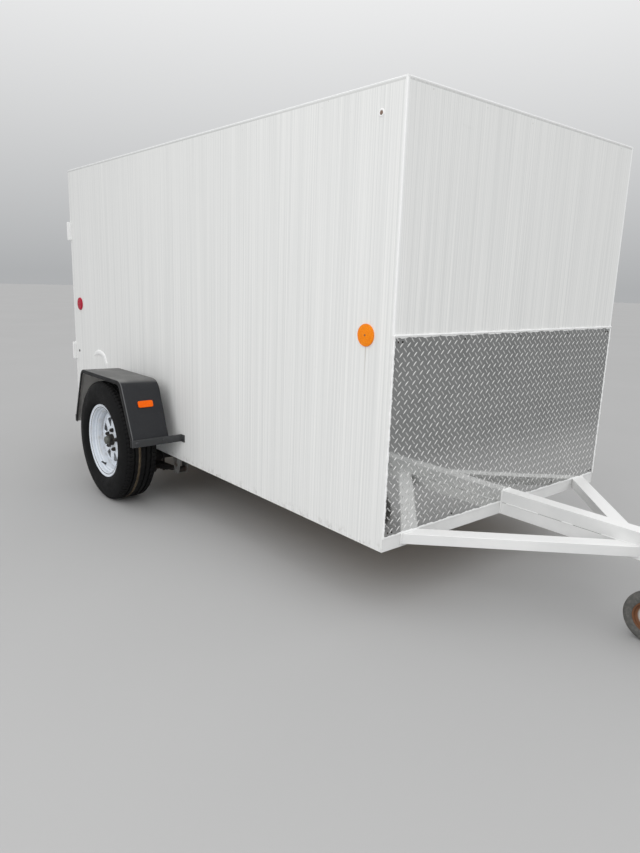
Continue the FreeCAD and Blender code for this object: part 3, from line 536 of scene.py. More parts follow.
def mottled(name, scale, detail, tones, roughness, spread, relief, limits=None, strength=1.0, **more):
    """Plain finish: one noise, cut off at its limits, blends two tones, roughens and lifts the surface."""
    f = Finish(name)
    mottle = f.noise(scale, detail)
    mottle = mottle.within(*limits) if limits else mottle
    return f.done(Base_Color=f.mix(mottle, *tones), Normal=f.bump(mottle, relief, strength),
                  Roughness=roughness + mottle * spread if spread else roughness, **more)


def lattice(points, wrap_rows=False, wrap_columns=False, keep=None):
    """Patch of a grid of points: one face between each four neighbours, wrapped round where closed."""
    rows, columns = points.shape[:2]
    index = np.arange(rows * columns).reshape(rows, columns)
    if wrap_rows:
        index = np.vstack([index, index[:1]])
    if wrap_columns:
        index = np.hstack([index, index[:, :1]])
    faces = np.stack([index[:-1, :-1], index[1:, :-1], index[1:, 1:], index[:-1, 1:]], axis=-1)
    faces = faces if keep is None else faces[keep]
    return points.reshape(-1, 3), faces.reshape(-1, 4)


def gathered(*patches):
    """One patch of several, their faces renumbered."""
    starts = np.cumsum([0] + [len(points) for points, _ in patches])
    points = np.concatenate([points for points, _ in patches])
    return points, np.concatenate([faces + start for (_, faces), start in zip(patches, starts)])


def spread(x, y, z):
    """Points whose coordinates are three arrays, each repeated to the others' shape."""
    return np.stack(np.broadcast_arrays(x, y, z), axis=-1)


def repeated(patch, places):
    """Copies of a patch, one moved to each place."""
    points, faces = patch
    steps = np.arange(len(places))[:, None, None] * len(points)
    return (points + places[:, None]).reshape(-1, 3), (faces + steps).reshape(-1, 4)


def mirrored(patch):
    """The left-hand twin: y changes sign and the faces are turned over."""
    points, faces = patch
    return points * (1, -1, 1), faces[:, ::-1]


def both_sides(*patches):
    """One patch of right-hand parts and their left-hand twins."""
    right = gathered(*patches)
    return gathered(right, mirrored(right))


def unit(vector):
    """Each vector divided by its length."""
    vector = np.asarray(vector, float)
    return vector / np.linalg.norm(vector, axis=-1, keepdims=True)


def across(axis):
    """Two directions at right angles to an axis and to each other."""
    first = unit(np.cross(axis, Z if abs(axis[2]) < 0.9 else X))
    return first, np.cross(axis, first)


def full_turn(steps):
    """Angles of an even division of a circle."""
    return np.linspace(0, 2 * math.pi, steps, endpoint=False)


def ring_of(steps, first, second):
    """Directions once round from first over second: cosine times the one plus sine times the other."""
    angles = full_turn(steps)[:, None]
    return np.cos(angles) * first + np.sin(angles) * second


def round_axle(radii, offsets, angles):
    """Points about the right-hand wheel's axle, at offsets outward from its middle plane."""
    return wheel_centre + spread(radii * np.cos(angles), -offsets, radii * np.sin(angles))


def right_middle(node, inset):
    """Middle of a node's box in x and z, at an inset from its right-hand face."""
    low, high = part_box(node)
    return np.array([(low.x + high.x) / 2, low.y + inset, (low.z + high.z) / 2])


def flowing(knots, steps):
    """Smooth line through knots: each span is the cubic whose slopes are half its neighbours' step."""
    p = np.asarray(knots, float)
    p = np.vstack([2 * p[:1] - p[1:2], p, 2 * p[-1:] - p[-2:-1]])
    a, b, c, d = (q[:, None] for q in (p[:-3], p[1:-2], p[2:-1], p[3:]))
    t = np.linspace(0, 1, steps, endpoint=False)[None, :, None]
    line = b + (c - a) * t / 2 + (2 * a - 5 * b + 4 * c - d) * t ** 2 / 2
    line = (line + (3 * b - a - 3 * c + d) * t ** 3 / 2).reshape(-1, p.shape[1])
    return np.vstack([line, p[-2:-1]])


def filleted(corners, radius, steps):
    """Line through corners, each inner one replaced by a curve that starts a radius before it."""
    p = np.asarray(corners, float)
    t = np.linspace(0, 1, steps)[:, None]
    pieces = [p[:1]]
    for before, corner, after in zip(p[:-2], p[1:-1], p[2:]):
        reach = min(radius, 0.49 * min(np.linalg.norm(before - corner), np.linalg.norm(after - corner)))
        start = corner + unit(before - corner) * reach
        end = corner + unit(after - corner) * reach
        pieces.append((1 - t) ** 2 * start + 2 * t * (1 - t) * corner + t ** 2 * end)
    return np.vstack(pieces + [p[-1:]])


def subdivided(line, longest):
    """The same line with its long straight spans divided, each into the same count of steps."""
    pieces = []
    for start, end in zip(line[:-1], line[1:]):
        count = 16 if np.linalg.norm(end - start) > longest else 1
        pieces.append(start + np.linspace(0, 1, count, endpoint=False)[:, None] * (end - start))
    return np.vstack(pieces + [line[-1:]])


def offset_line(line, distance):
    """The same flat line moved to its left by a distance."""
    along = unit(np.gradient(line, axis=0))
    return line + distance * np.stack([-along[:, 1], along[:, 0]], axis=1)


def revolved(profile, centre, axis, steps, closed=False):
    """Profile of (distance along the axis, radius) turned once about the axis through centre."""
    profile = np.asarray(profile, float)
    ring = ring_of(steps, *across(axis))
    points = centre + profile[:, :1, None] * axis + profile[:, 1:, None] * ring
    return lattice(points, wrap_rows=closed, wrap_columns=True)


def tube(path, radii, steps, up=Z):
    """Round bar along a path: a ring of the local radius in the plane across the path at each point."""
    path = np.asarray(path, float)
    along = unit(np.gradient(path, axis=0))
    first = unit(np.cross(along, up))
    ring = ring_of(steps, first[:, None], np.cross(first, along)[:, None])
    points = path[:, None] + np.broadcast_to(radii, len(path))[:, None, None] * ring
    ends = [np.repeat(path[index, None, None], steps, 1) for index in (0, -1)]
    return lattice(np.concatenate([ends[0], points, ends[1]]), wrap_columns=True)


def hex_head(place, axis, width, height, washer=0.0):
    """Hexagon head or nut: each ring's radius is the hexagon's, cut by the chamfer's cone."""
    sixth = math.pi / 3
    flats = width / 2 / np.cos((full_turn(36) + sixth / 2) % sixth - sixth / 2)
    levels = np.array([0, 0, 0.72, 0.86, 1.0, 1.0]) * height
    limits = np.array([0.0, 9.0, 0.6, 0.545, 0.46, 0.0]) * width
    radii = np.minimum(flats, limits[:, None])[..., None]
    points = place + levels[:, None, None] * axis + radii * ring_of(36, *across(axis))
    head = lattice(points, wrap_columns=True)
    if not washer:
        return head
    rim = [(0, 0), (0, washer), (0.0012, washer), (0.0016, washer - 0.0005), (0.0016, 0)]
    return gathered(head, revolved(rim, place, axis, 28))


def button_head(place, axis, radius, height):
    """Domed head: a quarter ellipse turned about its axis."""
    turn = np.linspace(0, math.pi / 2, 7)
    profile = np.stack([height * np.sin(turn), radius * np.cos(turn)], axis=1)
    return revolved(np.vstack([[(0, 0)], profile]), place, axis, 24)


def heads(shape, places, axis, *sizes):
    """The same head at several places."""
    return gathered(*(shape(place, axis, *sizes) for place in places))


def weld(start, end, radius):
    """Weld bead: a round bar whose radius swells and shrinks once each few millimetres."""
    start, end = np.asarray(start, float), np.asarray(end, float)
    length = np.linalg.norm(end - start)
    share = np.linspace(0, 1, max(6, int(length / weld_step * 4)))
    swell = 1 + 0.16 * np.sin(2 * math.pi * share * length / weld_step)
    radii = radius * swell * np.clip(share * 30, 0.3, 1) * np.clip((1 - share) * 30, 0.3, 1)
    up = Z if abs(end - start)[2] < 0.9 * length else X
    return tube(start + share[:, None] * (end - start), radii, 8, up)


def pillow(centre, axes, halves, blend, rows=26, columns=40):
    """Rounded block: points of a sphere pushed out until the sum of their powers is one."""
    lift = np.linspace(-math.pi / 2, math.pi / 2, rows)[:, None]
    ball = np.cos(lift)[..., None] * ring_of(columns, X, Y) + np.sin(lift)[..., None] * Z
    size = (np.abs(ball) ** blend).sum(axis=-1, keepdims=True) ** (1 / blend)
    points = centre + (ball / size * halves) @ np.asarray(axes, float)
    return lattice(points, wrap_columns=True)


def mesh_of(name, patch):
    """Mesh of a patch's points and faces."""
    points, faces = patch
    mesh = bpy.data.meshes.new(name)
    mesh.from_pydata(points.tolist(), [], faces.tolist())
    return mesh


def cleaned(mesh, reach, outward=False, flat_deg=0.0):
    """Joins the points of a mesh within reach, turns its faces outward or dissolves its flat edges."""
    shell = bmesh.new()
    shell.from_mesh(mesh)
    bmesh.ops.remove_doubles(shell, verts=shell.verts, dist=reach)
    if outward:
        bmesh.ops.recalc_face_normals(shell, faces=shell.faces)
    if flat_deg:
        flat = math.radians(flat_deg)
        bmesh.ops.dissolve_limit(shell, angle_limit=flat, verts=shell.verts, edges=shell.edges)
    shell.to_mesh(mesh)
    shell.free()
    return mesh


def in_scene(name, data, **settings):
    """Object of some data, linked to the scene, with its settings made."""
    thing = bpy.data.objects.new(name, data)
    bpy.context.scene.collection.objects.link(thing)
    return adjusted(thing, **settings)


def set_up(mesh, finish, slot, body, replaces, thickness=0.0, edge=0.0):
    """Links a mesh as an object with its finish, its body and the nodes it stands for."""
    material, usual_slot = finishes[finish]
    slot = slot or usual_slot
    mesh.materials.clear()
    mesh.materials.append(material)
    mesh.shade_smooth()
    mesh.set_sharp_from_angle(angle=math.radians(crease_angle))
    thing = in_scene(mesh.name, mesh)
    if thickness:
        adjusted(thing.modifiers.new("thickness", "SOLIDIFY"), thickness=thickness, offset=-1.0,
                 use_even_offset=True)
    if edge:
        adjusted(thing.modifiers.new("edges", "BEVEL"), width=edge, segments=2, limit_method="ANGLE",
                 angle_limit=math.radians(bevel_angle), harden_normals=False)
    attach(thing, body)
    if replaces:
        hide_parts(*replaces)


def piece(name, patch, finish, node="", slot="", body="chassis", thickness=0.0):
    """Object at the origin made of a patch: welded, its closed shells turned outward, its creases kept.

    A patch with a thickness is an open sheet, whose faces already point outward.
    """
    mesh = cleaned(mesh_of(name, patch), merge_patch, outward=not thickness)
    set_up(mesh, finish, slot, body, (node,) if node else (), thickness)


def pair(name, patch, finish, node="", body="", thickness=0.0):
    """Piece of the right-hand side and its twin; an empty body is the chassis."""
    for side, shape in (("right", patch), ("left", mirrored(patch))):
        piece(f"{name}_{side}", shape, finish, node and f"{node}_{side}", "",
              f"{body}_{side}" if body else "chassis", thickness)


def eased(node, edge, finish, slot):
    """Copy of a CAD node with its sharp edges rounded off; it stands for the node."""
    source = frame["nodes"][node]
    mesh = source.data.copy()
    mesh.name = node + "_eased"
    set_up(cleaned(mesh, merge_solid, flat_deg=0.5), finish, slot, body_of(source)[0], (node,), edge=edge)


def tread_bars():
    """Raised bars of the tread plate: each is a spindle, its section an oval that shrinks to both ends."""
    stations = np.array([-1.0, -0.72, -0.28, 0.28, 0.72, 1.0])[:, None]
    swell = np.sqrt(1 - stations ** 2)
    turn = np.radians([0, 55, 125, 180, 270])
    proud = swell * np.sin(turn) * np.where(np.sin(turn) > 0, bar_height, 0.0005)
    along = stations * bar_length / 2
    beside = swell * np.cos(turn) * bar_width / 2
    reach = int(3.2 * half_width / bar_pitch_up)
    row, column = np.mgrid[-reach:reach, -reach:reach].reshape(2, -1)
    half_plate = (plate_high.z - plate_low.z) / 2
    y = (row - column) * bar_pitch_across / 2
    z = plate_low.z + bar_margin + (row + column) * bar_pitch_up / 2
    inside = abs(y) < half_width - bar_margin
    inside &= abs(z - plate_low.z - half_plate) < half_plate - bar_margin
    places = spread(plate_high.x, y, z)
    parts = []
    for way in (0, 1):
        lean = math.radians(90 * way - 45)
        points = spread(proud, math.cos(lean) * along - math.sin(lean) * beside,
                        math.sin(lean) * along + math.cos(lean) * beside)
        leaning = places[inside & ((row + column) % 2 == way)]
        parts.append(repeated(lattice(points, wrap_columns=True), leaning))
    return gathered(*parts)


def treaded_tyre():
    """Right-hand tyre: a section turned about the axle, its tread sunk by the grooves' depth.

    The depth is a function of the offset from the middle plane and of the angle: full within a
    groove's half width, and again in short notches across the shoulders.
    """
    outer = flowing([(bead_half, bead_radius), (0.0775, 0.209), (0.0905, 0.219), (0.0998, 0.243),
                     (tyre_half, 0.266), (0.0975, 0.292), (0.0885, 0.317), (0.0815, 0.3275)], 5)
    shoulder = flowing([(0.0815, 0.3275), (0.0775, 0.3335), (tread_half, 0.3362)], 3)[1:]
    crown_y = np.linspace(tread_half, -tread_half, 93)[1:-1]
    crown = np.stack([crown_y, tyre_radius - 0.0018 * (crown_y / tread_half) ** 2], axis=1)
    flip = np.array([-1, 1])
    inner = np.stack([np.linspace(-bead_half, bead_half, 9)[1:-1], np.full(7, bead_radius)], axis=1)
    section = np.vstack([outer, shoulder, crown, shoulder[::-1] * flip, outer[::-1] * flip, inner])
    angles = full_turn(tyre_steps)
    offset, radius = section[:, :1], section[:, 1:]
    weave = 0.0011 * np.sin(angles * 42)
    cuts = [groove_depth * (abs(abs(offset) - place - weave) < groove_half) for place in groove_places]
    notch = np.sin(angles * shoulder_notches + np.sign(offset)) > 0.55
    on_shoulder = (abs(offset) > shoulder_start) & (abs(offset) < shoulder_end) & (radius > 0.322)
    cuts.append(shoulder_notch_depth * notch * on_shoulder)
    sipe = (np.sin(angles * shoulder_notches / 2 + offset * 90) > 0.93) & (abs(offset) < 0.0405)
    cuts.append(sipe_depth * sipe * (radius > 0.333))
    points = round_axle(radius - np.max(cuts, axis=0), offset, angles)
    return lattice(points, wrap_rows=True, wrap_columns=True)


def wheel_barrel():
    """Right-hand barrel: its section from the outer lip over seat, hump and well to the inner lip."""
    lip = [(0.0815, 0.2072), (0.0795, 0.2025), (0.0775, 0.1935), (0.0745, 0.1862), (0.066, 0.1838)]
    knots = lip + [(0.06, 0.1834), (0.0565, 0.1812), (0.0555, 0.1785), (0.052, 0.1772), (0.0465, 0.1768),
                   (0.0435, 0.1745), (0.042, 0.1712), (0.0385, 0.1696), (0.02, 0.1685),
                   (-0.03, 0.1685), (-0.045, 0.1705), (-0.053, 0.1815), (-0.0745, 0.1845),
                   (-0.0775, 0.1935), (-0.0815, 0.2072)]
    line = flowing(knots, 4)
    profile = np.vstack([line, offset_line(line, -sheet)[::-1]])
    return revolved(profile, wheel_centre, -Y, 168, closed=True)


def wheel_disc():
    """Right-hand disc: a polar grid whose columns close in on each window's edges, row by row.

    The window's half angle grows steadily from its inner to its outer radius and is rounded off at
    both ends; spokes are crowned across, and the disc is dished along the radius.
    """
    rise = np.array([0, 0.015, 0.05, 0.1, 0.16, 0.24, 0.36, 0.5,
                     0.64, 0.78, 0.86, 0.92, 0.965, 0.99, 1.0])
    within = window_inner + (window_outer - window_inner) * rise
    inner_rows = np.array([0.033, 0.0345, 0.042, 0.05, 0.058, 0.066, 0.072, 0.0755])
    outer_rows = np.array([0.1285, 0.131, 0.135, 0.141, 0.148, 0.155, 0.161, 0.1652, 0.1672,
                           disc_edge_radius])
    radii = np.concatenate([inner_rows, within, outer_rows])
    sides = window_inner_share + (window_share - window_inner_share) * rise
    inner_round = np.sqrt(np.clip(1 - (1 - rise / 0.16).clip(0, 1) ** 2 * 0.8, 0, 1))
    outer_round = np.sqrt(np.clip(1 - (1 - (1 - rise) / 0.12).clip(0, 1) ** 2 * 0.55, 0, 1))
    opening = sides * inner_round * outer_round
    before = window_share + (opening[0] - window_share) * np.clip((inner_rows - 0.06) / 0.0155, 0, 1)
    after = opening[-1] + (window_share - opening[-1]) * np.clip((outer_rows - window_outer) / 0.01, 0, 1)
    opening = np.concatenate([before, opening, after])[:, None]
    sector, column = np.divmod(np.arange(sector_columns * window_count), sector_columns)
    share = column / sector_columns
    distance = np.minimum(share, 1 - share)
    spoke = np.clip((distance - window_share) / (0.5 - window_share), 0, 1)
    moved = np.where(distance < window_share, distance / window_share * opening,
                     opening + spoke * (0.5 - opening))
    fraction = np.where(share <= 0.5, moved, 1 - moved)
    angles = math.radians(window_start) + 2 * math.pi / window_count * (sector + fraction)
    knots = np.array([(0.033, 0.0285), (0.036, 0.0272), (0.07, 0.027), (0.082, 0.028), (0.104, 0.0295),
                      (0.126, 0.0275), (0.141, 0.0215), (0.155, 0.0175), (0.1655, 0.0165), (0.1672, 0.012),
                      (0.16751, 0.004)])
    dish = np.interp(radii, knots[:, 0], knots[:, 1])[:, None]
    span = np.clip((radii - 0.074) / 0.062, 0, 1)[:, None]
    crown = 0.0035 * np.sin(math.pi * span) * (np.sin(math.pi / 2 * spoke) - 0.6)
    points = round_axle(radii[:, None], dish + crown, angles)
    in_window = np.zeros((len(radii) - 1, sector_columns * window_count), bool)
    nearer = np.maximum(distance, np.roll(distance, -1)) <= window_share + 1e-9
    in_window[len(inner_rows):len(inner_rows) + len(within) - 1] = nearer
    return lattice(points, wrap_columns=True, keep=~in_window)


def lug_nuts():
    """Right-hand lug nuts with a cone seat under each and the stud's end in it."""
    seat = [(0, 0), (0, 0.0128), (0.003, 0.0118), (0.003, 0)]
    stud = [(0.012, 0), (0.012, 0.006), (0.0185, 0.006), (0.0197, 0.0048), (0.0197, 0)]
    parts = []
    for spot in round_axle(lug_circle, disc_offset, math.radians(lug_start) + full_turn(lug_count)):
        parts.append(hex_head(spot, -Y, nut_across, 0.0155))
        parts.append(revolved(seat, spot, -Y, 24))
        parts.append(revolved(stud, spot, -Y, 18))
    return gathered(*parts)


def hub_barrel():
    """Right-hand hub: barrel through the disc, chamfered and recessed at its end."""
    start = hub_high.y - wheel_centre[1]
    knots = [(-start, 0), (-start, hub_radius), (hub_step - 0.0045, hub_radius), (hub_step - 0.0012, 0.0306),
             (hub_step, 0.0285), (hub_step, 0.024), (hub_step - 0.002, 0.0235), (hub_step - 0.002, 0)]
    return revolved(knots, wheel_centre, -Y, 64)


def dust_cap():
    """Right-hand dust cap: a drawn cup with a rolled rim, a shallow ring and a small centre plug."""
    end = wheel_centre[1] - hub_low.y
    knots = [(hub_step - 0.0025, 0), (hub_step - 0.0025, 0.023), (hub_step + 0.0006, 0.0238),
             (hub_step + 0.0022, 0.0238), (hub_step + 0.003, 0.0226), (end - 0.006, 0.0219),
             (end - 0.0022, 0.02), (end - 0.0005, 0.0165), (end - 0.0011, 0.015), (end - 0.0011, 0.006),
             (end, 0.0052), (end, 0)]
    return revolved(knots, wheel_centre, -Y, 64)


def valve():
    """Right-hand valve: rubber foot on the barrel's slope, stem and cap leaning to the axle."""
    angle = math.radians(valve_angle)
    out = np.array([math.cos(angle), 0, math.sin(angle)])
    foot = wheel_centre + out * 0.176 - Y * 0.0425
    lean = unit(-out * 0.8 - Y)
    profile = [(0, 0), (0, 0.0075), (0.004, 0.0078), (0.007, 0.0052), (0.022, 0.0042), (0.0225, 0.0048),
               (0.033, 0.0048), (0.0345, 0.0035), (0.0345, 0)]
    return revolved(profile, foot, lean, 20)


def fender_sheet():
    """Right-hand fender: an open sheet, its rolled section in y carried along the arch's outline.

    The arch is a blend, across the fender, of the one at the wall and the one outside.
    """
    top, low = fender_high.z, fender_low.z
    arches = []
    for radius, ahead, behind in fender_arches:
        corners = [(arch_half, low), (arch_half, fender_bend), (ahead, top), (-behind, top),
                   (-arch_half, fender_bend), (-arch_half, low)]
        arches.append(subdivided(filleted(corners, radius, 12), 0.012))
    normals = [offset_line(arch, -1.0) - arch for arch in arches]
    inner, outer = fender_high.y, fender_low.y
    rolled = [(inner, fender_roll * 0.7), (inner, 0), (outer, 0), (outer, fender_roll)]
    section = filleted(rolled, 0.0065, 6)
    flat = np.linspace(section[6], section[7], 12)[1:-1]
    section = np.vstack([section[:7], flat, section[7:]])
    share = (section[:, 0] - inner) / (outer - inner)
    arch, normal = (ends[0][:, None] * (1 - share)[:, None] + ends[1][:, None] * share[:, None]
                    for ends in (arches, normals))
    arch = arch - normal * section[:, 1:]
    return lattice(spread(arch_middle + arch[..., 0], section[:, 0], arch[..., 1]))


def fender_bolts():
    """Right-hand bolts of both fender bars, domed heads outside, and one in each bar's foot."""
    parts = []
    for way in (-1, 1):
        face = arch_middle + way * (arch_half + bar_thickness)
        parts.append(heads(button_head, [(face, y, bar_level) for y in bar_bolts], X * way, 0.0095, 0.0055))
        foot = (face + way * bar_foot_reach, -half_width - bar_thickness, bar_level)
        parts.append(hex_head(foot, -Y, 0.013, 0.0055, 0.0095))
    return gathered(*parts)


def round_lens(node):
    """Round reflectors of a node: a rim, a gutter and a shallow dome, turned about y."""
    low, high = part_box(node)
    middle = (low + high) / 2
    dome = [(0, 0), (0, 1), (0.62, 1), (0.8, 0.985), (0.84, 0.955), (0.74, 0.935), (0.8, 0.91),
            (0.93, 0.6), (0.98, 0.25), (1, 0.1), (1, 0)]
    dome = np.multiply(dome, (high.y - half_width, (high.x - low.x) / 2))
    return both_sides(revolved(dome, (middle.x, -half_width, middle.z), -Y, 72))


def amber_lenses():
    """Amber round lenses near the box's front."""
    return round_lens("reflectors_amber")


def red_lenses():
    """Red round lenses near the box's rear."""
    return round_lens("reflectors_red")


def lens_screws():
    """Small dark screw in the middle of each round reflector."""
    places = [right_middle(node, 0.0003) for node in ("reflectors_amber", "reflectors_red")]
    return both_sides(heads(button_head, places, -Y, 0.0042, 0.0012))


def fender_lenses(node, way):
    """Oblong lens on each fender's slope, a rounded block leaning as the slope does."""
    slope = math.atan2(fender_high.z - fender_bend, arch_half - fender_top_half)
    out = np.array([way * math.sin(slope), 0, math.cos(slope)])
    along = np.array([way * math.cos(slope), 0, -math.sin(slope)])
    halves = (lens_length / 2 - lens_play, lens_height / 2 - lens_play, lens_depth / 2)
    return both_sides(pillow(right_middle(node, lens_length / 2), [Y, along, out], halves, 9.0))


def fender_lenses_front():
    """Orange lenses on the fenders' front slopes."""
    return fender_lenses("fender_reflectors_front", 1)


def fender_lenses_rear():
    """Red lenses on the fenders' rear slopes."""
    return fender_lenses("fender_reflectors_rear", -1)


def tail_lenses():
    """Tail lamps: a rounded lens across the sill, its depth rippled by upright flutes."""
    low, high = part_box("tail_lamps")
    centre = right_middle("tail_lamps", lamp_length / 2)
    halves = (lamp_length / 2, (high.z - low.z) / 2, (high.x - low.x) / 2)
    points, faces = pillow(centre, [Y, Z, -X], halves, 6.0, 40, 96)
    front = np.clip((centre[0] - points[:, 0]) / halves[2] - 0.6, 0, 0.4) / 0.4
    ripple = (1 + np.sin((points[:, 1] - centre[1]) * 2 * math.pi / flute_pitch)) / 2
    points[:, 0] += flute_depth * front * ripple
    return both_sides((points, faces))


def tongue_welds():
    """Weld beads where the tongue's tubes meet, and stitches along the seam of the stacked beams."""
    lower_low, lower_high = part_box("tongue_beam_lower")
    beam_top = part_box("tongue_beam_upper")[1].z
    leg_low, leg_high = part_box("tongue_legs")
    side = lower_high.y
    seam = lower_high.z
    front = box_front + 0.003
    tip = leg_high.x - 0.006
    beads = [((box_front + start, -side, seam), (box_front + start + length, -side, seam), stitch_radius)
             for start, length in stitches]
    beads += [
        ((front, -side, lower_low.z), (front, -side, beam_top), weld_radius),
        ((tip, -side, leg_low.z), (tip, -side, leg_high.z), weld_radius),
        ((leg_high.x - 0.09, -side, leg_high.z), (leg_high.x - 0.002, -side, leg_high.z), weld_radius_small),
        ((front - 0.001, leg_low.y + 0.002, leg_high.z),
         (front - 0.001, leg_low.y + 0.094, leg_high.z), weld_radius),
        ((front, leg_low.y, leg_low.z), (front, leg_low.y, leg_high.z), weld_radius),
    ]
    top = weld((front + 0.001, -side, beam_top), (front + 0.001, side, beam_top), weld_radius)
    nose = weld((lower_high.x, -side, seam), (lower_high.x, side, seam), weld_radius_small)
    return gathered(both_sides(*(weld(*bead) for bead in beads)), top, nose)


def tongue_seam():
    """Painted shade of the gap between the stacked beams: a thin dark bar in the groove of either side."""
    low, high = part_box("tongue_beam_lower")
    ends = [(x, seam_depth - high.y, high.z) for x in (low.x + 0.01, high.x - 0.01)]
    return both_sides(tube(ends, seam_radius, 6))


def plate_sealant():
    """Bead of white sealant along the plate's top and upright edges, its radius wandering."""
    share = np.linspace(0, 1, 160)[:, None]
    wander = 1 + 0.22 * np.sin(share * 63) + 0.15 * np.sin(share * 151 + 1)
    x = box_front + 0.0015
    top = (x, 0, plate_high.z) + (2 * share - 1) * (half_width - 0.002) * Y
    side = (x, -half_width + 0.0015, plate_low.z) + share * (plate_high.z - plate_low.z) * Z
    radii = sealant_radius * wander[:, 0]
    return gathered(tube(top, radii, 8), both_sides(tube(side, radii * 0.8, 8, X)))


def ragged_strip(start, end, inward, seed):
    """Thin strip on the plate from start to end: its inner edge wanders as a sum of three waves."""
    share = np.linspace(0, 1, 320)[:, None]
    line = start + share * np.subtract(end, start)
    wander = np.sin(share * 173 + seed) * 0.0013 + np.sin(share * 397 + 2 * seed) * 0.0008
    reach = lap_width + wander + np.sin(share * 71 + 3 * seed) * 0.0014
    lifted = line + X * lap_height
    points = np.stack([line, lifted, lifted + reach * inward * 0.8, line + reach * inward], axis=1)
    middle = points.mean(axis=1, keepdims=True)
    ends = [np.repeat(middle[index:index + 1], 4, axis=1) for index in (0, -1)]
    return lattice(np.concatenate([ends[0], points, ends[1]]), wrap_columns=True)


def paint_lap():
    """White paint lapped over the plate's four edges."""
    x = plate_high.x - 0.0002
    low, high = plate_low.z, plate_high.z
    upright = ragged_strip((x, -half_width, low), (x, -half_width, high), Y, 1.0)
    top = ragged_strip((x, -half_width, high), (x, half_width, high), -Z, 2.0)
    bottom = ragged_strip((x, -half_width, low), (x, half_width, low), Z, 3.0)
    return gathered(both_sides(upright), top, bottom)


def plate_screws():
    """Small pan heads along the plate's top and bottom, paired near its corners."""
    places = [(plate_high.x, y, z) for z in (plate_high.z - plate_screw_top, plate_low.z + plate_screw_foot)
              for y in plate_screw_places]
    return heads(button_head, places, X, 0.0042, 0.0024)


def edge_paint():
    """Thick white paint along the box's upper edges and front corners.

    A section that swells from nothing to its rounded corner is drawn along each edge.
    """
    low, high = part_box("edge_trims")
    x, y, z = (value - edge_paint_height for value in high)
    arc = np.radians(np.linspace(-90, -180, 5))
    middle = edge_paint_round - edge_paint_height
    rounding = middle + edge_paint_round * np.stack([np.cos(arc), np.sin(arc)], axis=1)
    parts = []
    edges = (((low.x, -y, z), (high.x, -y, z), -Z, Y, edge_paint_narrow),
             ((x, -y, low.z), (x, -y, high.z), -X, Y, edge_paint_wide),
             ((x, -high.y, z), (x, high.y, z), -Z, -X, edge_paint_narrow))
    for start, end, first, second, width in edges:
        slope = np.array([(width, 0.0), (width * 0.6, -0.7 * edge_paint_height)])
        section = np.vstack([slope, rounding, slope[::-1, ::-1], [(0.002, 0.002)]])
        outline = section[:, :1] * first + section[:, 1:] * second
        near, far = start + outline, end + outline
        caps = [np.repeat(points.mean(axis=0, keepdims=True), len(points), 0) for points in (near, far)]
        parts.append(lattice(np.stack([caps[0], near, far, caps[1]]), wrap_columns=True))
    return gathered(both_sides(*parts[:2]), parts[2])


def wall_bead():
    """Curved bead of thick paint on the wall above the fender."""
    line = flowing([(x + box_front, z + sill) for x, z in paint_bead_line], 12)
    path = spread(line[:, 0], -half_width, line[:, 1])
    share = np.linspace(0, 1, len(line))
    radii = np.clip(np.sin(math.pi * share) * 2.2, 0.25, 1) * (1 + 0.1 * np.sin(share * 60))
    points, faces = tube(path, paint_bead_radius * radii, 14, Y)
    points[:, 1] = -half_width + (points[:, 1] + half_width) * paint_bead_flatness
    return points, faces


def wall_screw():
    """Rusty screw high on the wall."""
    x, z = screw_place
    return button_head((x, -half_width, z), -Y, 0.0075, 0.004)


def screw_ring():
    """Ring of white sealant round the screw."""
    x, z = screw_place
    turn = full_turn(12)
    ring = np.stack([0.0025 * np.sin(turn), 0.0105 + 0.0035 * np.cos(turn)], axis=1)
    return revolved(ring, (x, -half_width, z), -Y, 32, closed=True)


def wall_bolt():
    """Dark bolt end by the lower hinge."""
    x, z = bolt_hole_place
    return hex_head((x, -half_width, z), -Y, 0.014, 0.003)


def hinge_bolts():
    """Carriage bolts through the fixed leaves, two above each other."""
    low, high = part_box("hinge_leaves")
    places = [(box_rear - leaf_reach, -half_width + leaf_bolt_place, bottom + share * hinge_height)
              for bottom in (low.z, high.z - hinge_height) for share in leaf_bolt_shares]
    return both_sides(heads(hex_head, places, -X, 0.011, 0.005, 0.008))


def hinge_blocks():
    """Rounded blocks at the box's rear corners, beside the fixed leaves, that stand out past its walls.

    They end ahead of the path of the cranked straps.
    """
    low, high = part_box("hinge_leaves")
    places = [(box_rear + hinge_block_ahead, -half_width - hinge_block_beside, level)
              for level in (low.z + hinge_height / 2, high.z - hinge_height / 2)]
    return both_sides(*(pillow(place, [X, Y, Z], hinge_block_halves, 12.0, 40, 64) for place in places))


def strap_bolts():
    """Right-hand bolts through the hinge straps into the door."""
    low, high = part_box("hinges_right")
    depth = hinge_height / 2
    places = [(box_rear - leaf_reach, along - pin_place, top - depth / 2)
              for top in (high.z, low.z + depth - knuckle_gap) for along in strap_bolt_places]
    return heads(button_head, places, -X, 0.008, 0.0045)


def guide_bolts():
    """Right-hand bolts beside the lock bar's guides."""
    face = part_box("lock_bar_right")[0].x + 0.004
    low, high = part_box("door_right")
    places = [(face, -guide_place + way * guide_bolt_gap, low.z + share * (high.z - low.z))
              for share in guide_shares for way in (-1, 1)]
    return heads(hex_head, places, -X, 0.008, 0.004)


